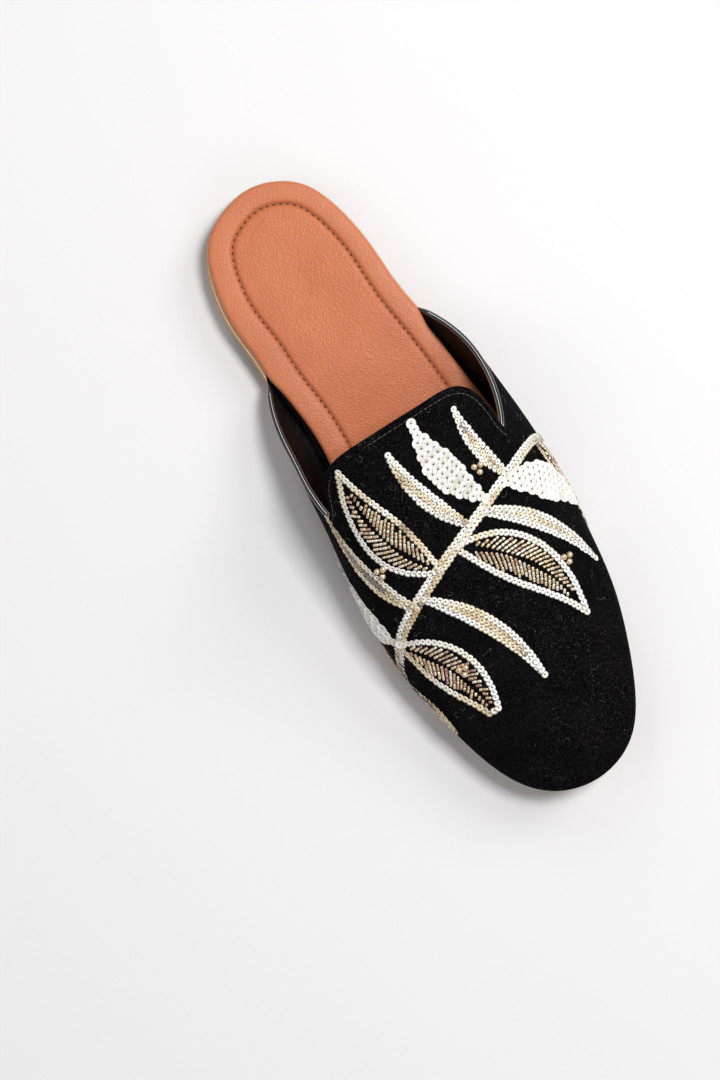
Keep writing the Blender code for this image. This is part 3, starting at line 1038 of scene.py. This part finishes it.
def calm(points, passes=4):     # evens out the small steps of a cut
    points = points.copy()
    for _ in range(passes):
        points[1:-1] = (points[:-2] + 2 * points[1:-1] + points[2:]) / 4
    return points


pipingSizes = {
    "wide": 0.00062,            # up the wall
    "high": 0.00112,            # through it
    "step": 0.0008,
    "sink": 0.0009,             # its middle lies this far under the cloth's face
    "upright": 0.3,             # how much of the wall's lean it follows, so that its broad top faces up
    "end": 0.35,                # how thin it starts
    "tapered": 6,               # steps until it is full
}


def edgeStrip(name, line, s, finish):                   # a rounded strip over the wall's cut edge
    count = int(travelled(line[:, :3])[-1] / s["step"])
    line = calm(evenly(line, count))
    normal = unit(line[:, 3:])
    middle = line[:, :3] - normal * s["sink"]
    taper = np.minimum(1, s["end"] + (1 - s["end"]) * np.linspace(0, 1, count) * count / s["tapered"])
    profile = roundProfile(s["wide"], s["high"])
    vertices, faces = sweep(middle, unit(normal * (1, 1, s["upright"])), profile, taper)
    strip = addPiece(name, vertices, faces, finish)
    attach(strip, "root")


marginSizes = {
    "start": {"medial": 0.245, "lateral": 0.264},
    "outer": 0.0003,            # in from the sole's outline
    "outerStart": 0.0016,
    "grow": 0.02,               # of the length, until it is full
    "inner": 0.0075,
    "thick": 0.00018,
    "stations": 260,
}


def makeLastingMargin():        # the lining's turned edge, cemented on the sole under the sock
    s = marginSizes
    points = []
    first, last = (placeOf(side, along(s["start"][side])) for side in ("medial", "lateral"))
    places = np.linspace(first, last + len(outline), s["stations"])
    for place in places:
        spot, out = outlineAt(place)
        side = "medial" if place <= toeIndex else "lateral"
        share = shareAt(spot[1])
        grown = float(ease((share - s["start"][side]) / s["grow"]))
        outer = s["outerStart"] + (s["outer"] - s["outerStart"]) * grown
        for inset in (outer, (outer + s["inner"]) / 2, s["inner"]):
            here = spot - out * inset
            points.append((*here, soleTop(shareAt(here[1])) + 2 * touch + s["thick"]))
    faces = [(i * 3 + k, (i + 1) * 3 + k, (i + 1) * 3 + k + 1, i * 3 + k + 1)
             for i in range(len(places) - 1) for k in range(2)]
    margin = addPiece("lasting_margin", points, faces, looks["lining"])
    if margin.data.polygons[0].normal.z < 0:
        margin.data.flip_normals()
    thicken(margin, s["thick"])
    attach(margin, "root")


makeLastingMargin()
edgeStrip("collar_piping_medial", edgeLine[:medialNotch + 1], pipingSizes, looks["piping"])
edgeStrip("collar_piping_lateral", edgeLine[lateralNotch:][::-1], pipingSizes, looks["piping"])

tongueSizes = {
    "wide": 0.0007,
    "high": 0.00095,
    "step": 0.0008,
    "sink": 0.00085,
    "upright": 1,
    "end": 1,
    "tapered": 1,
    "stitch": 0.0022,
    "stitchLong": 0.0020,
    "stitchThick": 0.00020,
}

edgeStrip("tongue_fold", edgeLine[medialNotch:lateralNotch + 1], tongueSizes, looks["velvet"])


def capsule(segments=6, rings=3):                       # a short thread along x, one long and one thick
    vertices, faces = [(-0.5, 0, 0)], []
    for k in range(rings + 1):
        x = -0.5 + 0.12 + (1 - 0.24) * k / rings
        thick = 0.5 * (0.86 if k in (0, rings) else 1.0)
        for j in range(segments):
            a = 2 * math.pi * j / segments
            vertices.append((x, thick * math.cos(a), thick * math.sin(a)))
    vertices.append((0.5, 0, 0))
    last = len(vertices) - 1
    for j in range(segments):
        n = (j + 1) % segments
        faces.append((0, 1 + n, 1 + j))
        faces.append((last, last - segments + j, last - segments + n))
        for k in range(rings):
            a = 1 + k * segments
            faces.append((a + j, a + n, a + n + segments, a + j + segments))
    return np.array(vertices), faces


def scatter(name, template, places, ahead, up, sizes, finish, marks=None):
    points, faces = template
    reach = np.hypot(points[:, 0], points[:, 1])
    x = unit(ahead)
    y = unit(np.cross(up, x))
    z = np.cross(x, y)
    sizes = np.broadcast_to(np.asarray(sizes, float), (len(places), 3))
    vertices = (places[:, None] + points[None, :, 0, None] * (x * sizes[:, :1])[:, None]
                + points[None, :, 1, None] * (y * sizes[:, 1:2])[:, None]
                + points[None, :, 2, None] * (z * sizes[:, 2:])[:, None]).reshape(-1, 3)
    every = [tuple(i + k * len(points) for i in face) for k in range(len(places)) for face in faces]
    spread = {key: np.repeat(values, len(points)) for key, values in (marks or {}).items()}
    spread["ring"] = np.tile(reach, len(places))        # how far out a point lies on its own sequin
    mesh = bpy.data.meshes.new(name)
    mesh.from_pydata((vertices + shift).tolist(), [], every)
    for key, values in spread.items():
        mesh.attributes.new(key, "FLOAT", "POINT").data.foreach_set("value", values.astype(np.float32))
    mesh.shade_smooth()
    mesh.materials.append(finish)
    piece = bpy.data.objects.new(name, mesh)
    collection.objects.link(piece)
    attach(piece, "root")
    return piece


def makeSockStitches():
    s = sockSizes
    lines = []
    for side in ("medial", "lateral"):
        shares = np.linspace(0, s["stitchedTo"], 400)
        places = placeOf(side, along(shares))
        points, outward = outlineAt(places)
        inset = np.array([stitchInset(h, side) for h in shareAt(points[:, 1])])
        line = points - outward * inset[:, None]
        lines.append(line if side == "medial" else line[::-1])
    flat = np.concatenate([lines[1], lines[0][1:]])
    height = soleTop(shareAt(flat[:, 1])) + shoe["gap"] + shoe["insole"] - s["grooveDeep"] + s["stitchThick"] * 0.45
    line = np.column_stack([flat, height])
    line = evenly(line, int(travelled(line)[-1] / s["stitch"]) + 1)
    ahead = np.gradient(line, axis=0)
    up = np.tile((0.0, 0.0, 1.0), (len(line), 1))
    wobble = rng.normal(0, 0.00005, (len(line), 3)) * (1, 1, 0)
    scatter("sock_stitches", capsule(), line + wobble, ahead, up, (s["stitchLong"], s["stitchThick"] * 1.5, s["stitchThick"]),
            looks["thread"])


def makeTongueStitches():
    s = tongueSizes
    line = collarLine(velvetLook["stitchIn"])
    middle = len(line) // 2
    a, b = int(np.argmin(line[:middle, 1])), middle + int(np.argmin(line[middle:, 1]))
    line = line[a:b + 1]
    line = calm(evenly(line, int(travelled(line[:, :3])[-1] / s["stitch"]) + 1))
    normal = unit(line[:, 3:])
    scatter("tongue_stitches", capsule(), line[:, :3] + normal * 0.00004, np.gradient(line[:, :3], axis=0), normal,
            (s["stitchLong"], s["stitchThick"] * 1.4, s["stitchThick"]), looks["blackThread"])


makeSockStitches()
makeTongueStitches()
print("piping, fold and stitches made")


# The embroidery: a vine with leaves and buds. Its spots are in mm, along from the heel and
# across over the cloth from the ridge, with the lateral side above zero.

clothSizes = {
    "shares": (0.38, 0.84),
    "stations": 116,
    "reach": 0.080,
    "steps": 161,
}


def layCloth():                 # the skin again, by share and by distance across from the ridge
    s = clothSizes
    across = np.linspace(-s["reach"], s["reach"], s["steps"])
    lines = []
    for share in np.linspace(*s["shares"], s["stations"]):
        medial, lateral = (skinColumn(float(placeOf(side, along(share))), side, 90) for side in ("medial", "lateral"))
        line = np.concatenate([medial, lateral[::-1][1:]])
        where = travelled(line) - travelled(medial)[-1]
        lines.append(np.stack([np.interp(across, where, line[:, k]) for k in range(3)], axis=1))
    points = np.array(lines)
    normal = np.cross(np.gradient(points, axis=0), np.gradient(points, axis=1))
    return points, unit(normal * np.sign(normal[s["stations"] // 2, s["steps"] // 2, 2]))


clothPoints, clothNormals = layCloth()


def onCloth(spots):             # points and normals for spots in mm
    s = clothSizes
    low, high = s["shares"]
    spots = np.asarray(spots, float) / 1000
    i = np.clip((spots[:, 0] / shoe["length"] - low) / (high - low), 0, 1) * (s["stations"] - 1)
    j = np.clip((spots[:, 1] + s["reach"]) / (2 * s["reach"]), 0, 1) * (s["steps"] - 1)
    a, b = np.minimum(i.astype(int), s["stations"] - 2), np.minimum(j.astype(int), s["steps"] - 2)
    p, q = (i - a)[:, None], (j - b)[:, None]
    found = [field[a, b] * (1 - p) * (1 - q) + field[a + 1, b] * p * (1 - q)
             + field[a, b + 1] * (1 - p) * q + field[a + 1, b + 1] * p * q for field in (clothPoints, clothNormals)]
    return found[0], unit(found[1])


stitched = {kind: [] for kind in ("sequins", "paillettes", "beads", "berries", "knotsAndHoleShade")}


def stitchOn(kind, places, ahead, up, sizes, tints):
    sizes = np.broadcast_to(np.asarray(sizes, float), (len(places), 3))
    tints = np.broadcast_to(np.asarray(tints, float), len(places))
    stitched[kind].append(np.column_stack([places, ahead, up, sizes, tints]))


def tipped(ahead, up, degrees):                         # turned nose up about the line across
    ahead, up = unit(ahead), unit(up)
    ahead = unit(ahead - up * np.sum(ahead * up, axis=1, keepdims=True))
    a = np.radians(degrees)[:, None]
    return ahead * np.cos(a) + up * np.sin(a), up * np.cos(a) - ahead * np.sin(a)


sequinSizes = {
    "wide": 0.0028,
    "step": 0.00192,
    "tip": 10.0,                # degrees, each over the next
    "jitter": 2.5,
    "cup": 0.12,                # by its radius
    "hole": 0.16,
}


def sequinRow(path, tint, wide=None, spread=0.32):
    s = sequinSizes
    wide = wide or s["wide"]
    points, normal = onCloth(path)
    line = evenly(np.column_stack([points, normal]), max(int(travelled(points)[-1] / s["step"] * s["wide"] / wide), 2))
    count = len(line)
    normal = unit(line[:, 3:])
    ahead, up = tipped(np.gradient(line[:, :3], axis=0), normal, s["tip"] + rng.normal(0, s["jitter"], count))
    roll = np.radians(rng.normal(0, s["jitter"], count))[:, None]
    up = unit(up + np.cross(ahead, up) * np.tan(roll))
    place = line[:, :3] + normal * (wide / 2 * math.sin(math.radians(s["tip"])) + 0.00012)
    place += rng.normal(0, 0.00006, (count, 3))
    sizes = wide / 2 * (1 + rng.normal(0, 0.025, (count, 1)))
    drift = np.interp(np.arange(count), np.arange(0, count + 5, 5), rng.normal(0, spread, len(np.arange(0, count + 5, 5))))
    tints = tint + drift + rng.normal(0, 0.07, count)
    stitchOn("sequins", place, ahead, up, sizes * (1, 1, 1), np.clip(tints, 0, 1))
    # a dark knot in the hole: the holding thread, and painted shade in the hole
    stitchOn("knotsAndHoleShade", place + up * 0.00001, ahead, up, sizes * s["hole"] * (2.0, 2.0, 0.5), 0.5)


beadSizes = {
    "thick": 0.00112,
    "long": (0.0011, 0.0023),
    "gap": 0.00008,
    "pitch": 1.50,              # mm from string to string
    "slant": 52.0,              # degrees from the leaf's rib
}


def beadString(path, tint):
    s = beadSizes
    points, normal = onCloth(path)
    line = np.column_stack([points, normal])
    distance = travelled(points)
    spot, rows = 0.0, []
    while True:
        long_ = rng.uniform(*s["long"])
        if spot + long_ > distance[-1]:
            break
        middle = spot + long_ / 2
        here = np.array([np.interp(middle, distance, line[:, k]) for k in range(6)])
        ends = [np.array([np.interp(d, distance, line[:, k]) for k in range(3)]) for d in (spot, spot + long_)]
        rows.append((*here, *(ends[1] - ends[0]), long_))
        spot += long_ + s["gap"]
    if not rows:
        return
    rows = np.array(rows)
    count = len(rows)
    normal = unit(rows[:, 3:6])
    ahead = unit(rows[:, 6:9]) + rng.normal(0, 0.05, (count, 3))
    thick = s["thick"] * rng.normal(1, 0.05, count)
    place = rows[:, :3] + normal * (thick[:, None] * 0.52)
    sizes = np.column_stack([rows[:, 9], thick, thick])
    stitchOn("beads", place, ahead, normal, sizes, np.clip(tint + rng.normal(0, 0.30, count), 0, 1))


def leafRib(leaf, count=90):
    root, tip = np.array(leaf["root"], float), np.array(leaf["tip"], float)
    way = tip - root
    side = np.array([-way[1], way[0]]) / np.linalg.norm(way)
    t = np.linspace(0, 1, count)[:, None]
    rib = root + way * t + side * leaf["bend"] * 4 * t * (1 - t)
    tangent = unit(np.gradient(rib, axis=0))
    return rib, np.column_stack([-tangent[:, 1], tangent[:, 0]])


def leafSpots(rib, t, aside):                           # spots a way aside from the rib
    line, normal = rib
    at_ = np.clip(t, 0, 1) * (len(line) - 1)
    k = np.arange(len(line))
    spot = np.column_stack([np.interp(at_, k, line[:, 0]), np.interp(at_, k, line[:, 1])])
    out = np.column_stack([np.interp(at_, k, normal[:, 0]), np.interp(at_, k, normal[:, 1])])
    return spot + out * np.reshape(aside, (-1, 1))


def leafHalf(leaf, t):
    return leaf["wide"] / 2 * np.sin(math.pi * np.clip(t, 0, 1) ** leaf.get("belly", 0.85))


def beadLeaf(leaf):             # sequins round it, strings of beads like veins, a bare rib
    s = beadSizes
    rib = leafRib(leaf)
    long_ = travelled(rib[0])[-1]
    t = np.linspace(0.0, 1.0, 60)
    for sign in (-1, 1):
        sequinRow(leafSpots(rib, t, sign * leafHalf(leaf, t)), leaf["edge"])
    slant = math.radians(s["slant"])
    for sign in (-1, 1):
        for start in np.arange(0.8, long_ - 3.0, s["pitch"] / math.sin(slant)):
            first = start / long_
            bare = leaf["bare"] * (0.40 + 0.60 * math.sin(2.5 * math.pi * first + leaf["bend"]) ** 2)
            go = np.linspace(0, leaf["wide"], 60)
            where, aside = first + go * math.cos(slant) / long_, bare + go * math.sin(slant)
            room = aside < leafHalf(leaf, where) - 1.25
            last = int(np.argmin(room)) if not room.all() else len(room)
            if last > 6 and where[last - 1] < 0.97:
                beadString(leafSpots(rib, where[:last], sign * aside[:last]), leaf["gold"] + rng.normal(0, 0.1))


def slenderLeaf(leaf):          # rows of sequins side by side that close at the tip
    rib = leafRib(leaf)
    t = np.linspace(0.0, 1.0, 50)
    inner = t[(leafHalf(leaf, t) > 1.1)]
    sequinRow(leafSpots(rib, inner, np.zeros(len(inner))), leaf["edge"] + 0.30)
    for sign in (-1, 1):
        sequinRow(leafSpots(rib, t, sign * leafHalf(leaf, t)), leaf["edge"])


paillettes = {
    "wide": 0.0046,
    "step": 2.30,               # mm from row to row
    "across": 2.75,
    "tip": 11.0,
    "jitter": 2.2,
}


def budPetal(leaf):             # large flat paillettes laid like scales from the tip down
    s = paillettes
    rib = leafRib(leaf)
    long_ = travelled(rib[0])[-1]
    rows = int(long_ / s["step"])
    for i in range(rows):
        t = (i + 0.4) / rows
        half = leafHalf(leaf, t)
        count = max(int(round(max(2 * half - s["wide"] * 1000, 0) / s["across"])) + 1, 1)
        aside = (np.arange(count) - (count - 1) / 2) * s["across"]
        spots = leafSpots(rib, np.full(count, t), aside)
        points, normal = onCloth(spots)
        onward = onCloth(leafSpots(rib, np.full(count, t + 0.01), aside))[0]
        ahead, up = tipped(onward - points, normal, s["tip"] + rng.normal(0, s["jitter"], count))
        roll = np.radians(rng.normal(0, s["jitter"], count))[:, None]
        up = unit(up + np.cross(ahead, up) * np.tan(roll))
        wide = s["wide"] * (0.88 if count == 1 else 1.0) * (1 + rng.normal(0, 0.02, (count, 1)))
        place = points + normal * (s["wide"] / 2 * math.sin(math.radians(s["tip"])) + 0.0002)
        place += normal * (0.00008 * np.arange(count) % 2)[:, None]
        # every other row is darker: painted shade between the overlapping rows
        tints = leaf["edge"] + (0.60 if i % 2 else 0.0) + rng.normal(0, 0.12, count)
        stitchOn("paillettes", place, ahead, up, wide / 2 * (1, 1, 1), np.clip(tints, 0, 1))
        # a dark knot in the hole: the holding thread, and painted shade in the hole
        stitchOn("knotsAndHoleShade", place, ahead, up, wide / 2 * (0.17, 0.17, 0.06), 0.5)


design = {
    "vine": ((205, -57), (192, -52), (176, -38), (162, -14), (151, 10), (142, 32), (137, 52), (138, 68)),
    "beadLeaves": (
        {"root": (160, -9), "tip": (112, -24), "bend": 6.0, "wide": 16.0, "bare": 1.0, "edge": 0.15, "gold": 0.35},
        {"root": (177, -39), "tip": (220, -19), "bend": 6.0, "wide": 15.5, "bare": 1.0, "edge": 0.40, "gold": 0.50},
        {"root": (156, 0), "tip": (201, 30), "bend": 7.0, "wide": 17.0, "bare": 1.0, "edge": 0.10, "gold": 0.30},
        {"root": (137, 54), "tip": (184, 67), "bend": 3.0, "wide": 11.5, "bare": 0.8, "edge": 0.30, "gold": 0.50},
        {"root": (198, -54), "tip": (150, -66.5), "bend": 3.0, "wide": 10.0, "bare": 0.8, "edge": 0.50, "gold": 0.60},
    ),
    "slenderLeaves": (
        {"root": (168, -24), "tip": (124, -43), "bend": 3.5, "wide": 4.6, "edge": 0.40},
        {"root": (151, 8), "tip": (115, -5), "bend": 3.0, "wide": 4.4, "edge": 0.15},
        {"root": (166, -20), "tip": (213, 4), "bend": 5.0, "wide": 4.6, "edge": 0.40},
        {"root": (149, 14), "tip": (186, 47), "bend": 4.5, "wide": 4.6, "edge": 0.10},
        {"root": (143, 31), "tip": (113, 25), "bend": 2.5, "wide": 4.2, "edge": 0.15},
        {"root": (190, -52), "tip": (221, -39), "bend": 3.0, "wide": 4.4, "edge": 0.50},
    ),
    "petals": (
        {"root": (177, -38), "tip": (133, -59), "bend": 6.0, "wide": 14.0, "belly": 0.90, "edge": 0.20},
        {"root": (147, 19), "tip": (108, 8), "bend": 4.0, "wide": 12.5, "belly": 0.90, "edge": 0.05},
        {"root": (144, 26), "tip": (170, 62), "bend": 5.0, "wide": 15.0, "belly": 0.90, "edge": 0.05},
    ),
    "berries": ((149, -30), (134, 20), (195, -22), (179, 33)),
}


def cupSequin(segments=10):
    s = sequinSizes
    turn = np.linspace(0, 2 * math.pi, segments, endpoint=False)
    rings = ((s["hole"], 0.0), (0.55, 0.03), (1.0, s["cup"]), (s["hole"], -0.05))
    vertices = [(r * math.cos(a), r * math.sin(a), z) for r, z in rings for a in turn]
    return np.array(vertices), ringFaces(segments, 4)


def flatPaillette(segments=14):
    turn = np.linspace(0, 2 * math.pi, segments, endpoint=False)
    rings = ((0.12, 0.012), (0.94, 0.0), (1.0, -0.012), (0.12, -0.03))
    vertices = [(r * math.cos(a), r * math.sin(a), z) for r, z in rings for a in turn]
    return np.array(vertices), ringFaces(segments, 4)


def ringFaces(segments, rings):                         # closed through the hole
    return [(a * segments + j, a * segments + (j + 1) % segments,
             (a + 1) % rings * segments + (j + 1) % segments, (a + 1) % rings * segments + j)
            for a in range(rings) for j in range(segments)]


def cutBead(segments=8):        # a short glass tube with rounded shoulders, along x
    rings = ((-0.5, 0.26), (-0.46, 0.42), (-0.30, 0.50), (0.30, 0.50), (0.46, 0.42), (0.5, 0.26))
    vertices = [(x, r * math.cos(a), r * math.sin(a)) for x, r in rings
                for a in np.linspace(0, 2 * math.pi, segments, endpoint=False)]
    faces = [(k * segments + j, k * segments + (j + 1) % segments,
              (k + 1) * segments + (j + 1) % segments, (k + 1) * segments + j)[::-1]
             for k in range(len(rings) - 1) for j in range(segments)]
    faces += [tuple(range(segments)), tuple(range((len(rings) - 1) * segments, len(rings) * segments))[::-1]]
    return np.array(vertices), faces


def roundBead(around=16, up=10):
    work = bmesh.new()
    bmesh.ops.create_uvsphere(work, u_segments=around, v_segments=up, radius=0.5)
    found = np.array([v.co for v in work.verts]), [tuple(v.index for v in f.verts) for f in work.faces]
    work.free()
    return found


def embroider():
    vine = smoothLine(design["vine"], 160)
    away = unit(np.gradient(vine, axis=0))
    side = np.column_stack([-away[:, 1], away[:, 0]])
    taper = 1.15 - 0.75 * np.linspace(0, 1, len(vine))[:, None] ** 2
    for sign, tint in ((-1, 0.35), (1, 0.10)):
        sequinRow(vine + side * sign * taper, tint)
    for leaf in design["beadLeaves"]:
        beadLeaf(leaf)
    for leaf in design["slenderLeaves"]:
        slenderLeaf(leaf)
    for leaf in design["petals"]:
        budPetal(leaf)
    spots = [np.add(spot, aside) for spot in design["berries"] for aside in ((0, 0), (2.5, 1.0), (0.4, 2.6))]
    points, normal = onCloth(spots)
    stitchOn("berries", points + normal * 0.0011, np.tile((1.0, 0, 0), (len(points), 1)), normal, 0.0024, 0.5)
    pieces = (
        ("sequins", "sequins", cupSequin(), looks["sequin"]),
        ("paillettes", "paillettes", flatPaillette(), looks["paillette"]),
        ("beads", "cut_beads", cutBead(), looks["bead"]),
        ("berries", "round_beads", roundBead(), looks["bead"]),
        ("knotsAndHoleShade", "holding_knots_and_hole_shade", roundBead(8, 5), looks["knotAndHoleShade"]),
    )
    for kind, name, template, finish in pieces:
        rows = np.concatenate(stitched[kind])
        scatter(name, template, rows[:, :3], rows[:, 3:6], rows[:, 6:9], rows[:, 9:12], finish, {"tint": rows[:, 12]})
        print(name, len(rows))


embroider()


lint = {
    "hairs": 110,
    "long": (1.6, 4.6),         # mm
    "thick": 0.00006,
    "curl": 0.9,
}


def layLint():                  # fine hairs caught in the pile
    vertices, faces = [], []
    for _ in range(lint["hairs"]):
        spot = np.array([rng.uniform(108, 214), rng.uniform(-58, 62)])
        heading, long_ = rng.uniform(0, 2 * math.pi), rng.uniform(*lint["long"])
        bend = rng.normal(0, lint["curl"])
        path = []
        for _ in range(12):
            path.append(spot.copy())
            heading += bend / 4 + rng.normal(0, 0.12)
            spot += np.array([math.cos(heading), math.sin(heading)]) * long_ / 12
        points, normal = onCloth(path)
        points += normal * 0.00008
        new, more = sweep(points, normal, roundProfile(lint["thick"] / 2, lint["thick"] / 2, 4))
        faces += [tuple(i + len(vertices) for i in face) for face in more]
        vertices += list(new)
    hairs = addPiece("velvet_lint", vertices, faces, looks["lint"])
    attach(hairs, "root")


layLint()
print("lint laid")


# Floor, light and camera

studio = {
    "floor": colour(0.765, 0.755, 0.765),
    "world": 0.20,
    "lamps": (                  # name, width, height, power, place
        ("key", 0.40, 0.40, 17.5, (0.54, 0.08, 1.51)),
        ("side", 0.60, 0.70, 7.5, (1.20, 0.20, 1.00)),
        ("fill", 1.0, 1.2, 4.0, (-1.25, 0.35, 1.25)),
        ("back", 0.34, 1.0, 5.0, (0.16, 1.60, 1.12)),         # drawn out as a bright line along the piping
        ("front", 1.2, 0.8, 4.5, (0.05, -1.45, 1.20)),
    ),
}


def makeStudio():
    half = 6.0
    mesh = bpy.data.meshes.new("studio_floor")
    mesh.from_pydata([(-half, -half, 0), (half, -half, 0), (half, half, 0), (-half, half, 0)], [], [(0, 1, 2, 3)])
    floor = bpy.data.objects.new("studio_floor", mesh)
    bpy.context.scene.collection.objects.link(floor)
    made, start, feed = newMaterial("pale_floor", Roughness=0.8, Specular_IOR_Level=0.1)
    mottle = noise(start, at(start), 14, 3)
    feed(Base_Color=mottle.mix(studio["floor"], colour(0.775, 0.766, 0.774)))
    mesh.materials.append(made)
    world = bpy.context.scene.world or bpy.data.worlds.new("studio")
    bpy.context.scene.world = world
    world.use_nodes = True
    background = world.node_tree.nodes["Background"]
    background.inputs["Color"].default_value = colour(1.0, 0.99, 0.985)
    background.inputs["Strength"].default_value = studio["world"]
    for name, wide, high, power, place in studio["lamps"]:
        lamp = bpy.data.lights.new(name, "AREA")
        lamp.shape, lamp.size, lamp.size_y, lamp.energy = "RECTANGLE", wide, high, power
        holder = bpy.data.objects.new(name, lamp)
        holder.location = place
        holder.rotation_mode = "QUATERNION"
        holder.rotation_quaternion = (-Vector(place)).to_track_quat("-Z", "Y")
        bpy.context.scene.collection.objects.link(holder)


view = {                        # straight down on the shoe, turned as in the photograph
    "azimuth": -102.61,
    "elevation": 89.63,
    "roll": 71.79,
    "distance": 0.900,
    "aim": (-0.03257, -0.00663, 0.025),
    "lens": 80.59,              # on 36 mm along the frame's height
}


def makeCamera():
    azimuth, elevation, roll = (math.radians(view[k]) for k in ("azimuth", "elevation", "roll"))
    look = Vector((-math.sin(azimuth) * math.cos(elevation), math.cos(azimuth) * math.cos(elevation), -math.sin(elevation)))
    right = look.cross(Vector((0, 0, 1))).normalized()
    up = right.cross(look)
    turnedRight = right * math.cos(roll) + up * math.sin(roll)
    turnedUp = up * math.cos(roll) - right * math.sin(roll)
    camera = bpy.data.objects.new("camera", bpy.data.cameras.new("camera"))
    camera.data.lens = view["lens"]
    camera.data.sensor_width = 36.0
    camera.data.clip_start, camera.data.clip_end = 0.01, 20.0
    turn = Matrix((turnedRight, turnedUp, -look)).transposed().to_4x4()
    camera.matrix_world = Matrix.Translation(Vector(view["aim"]) - look * view["distance"]) @ turn
    bpy.context.scene.collection.objects.link(camera)
    bpy.context.scene.camera = camera


makeStudio()
makeCamera()
bpy.context.scene.view_settings.view_transform = "Standard"
print("studio and camera made")
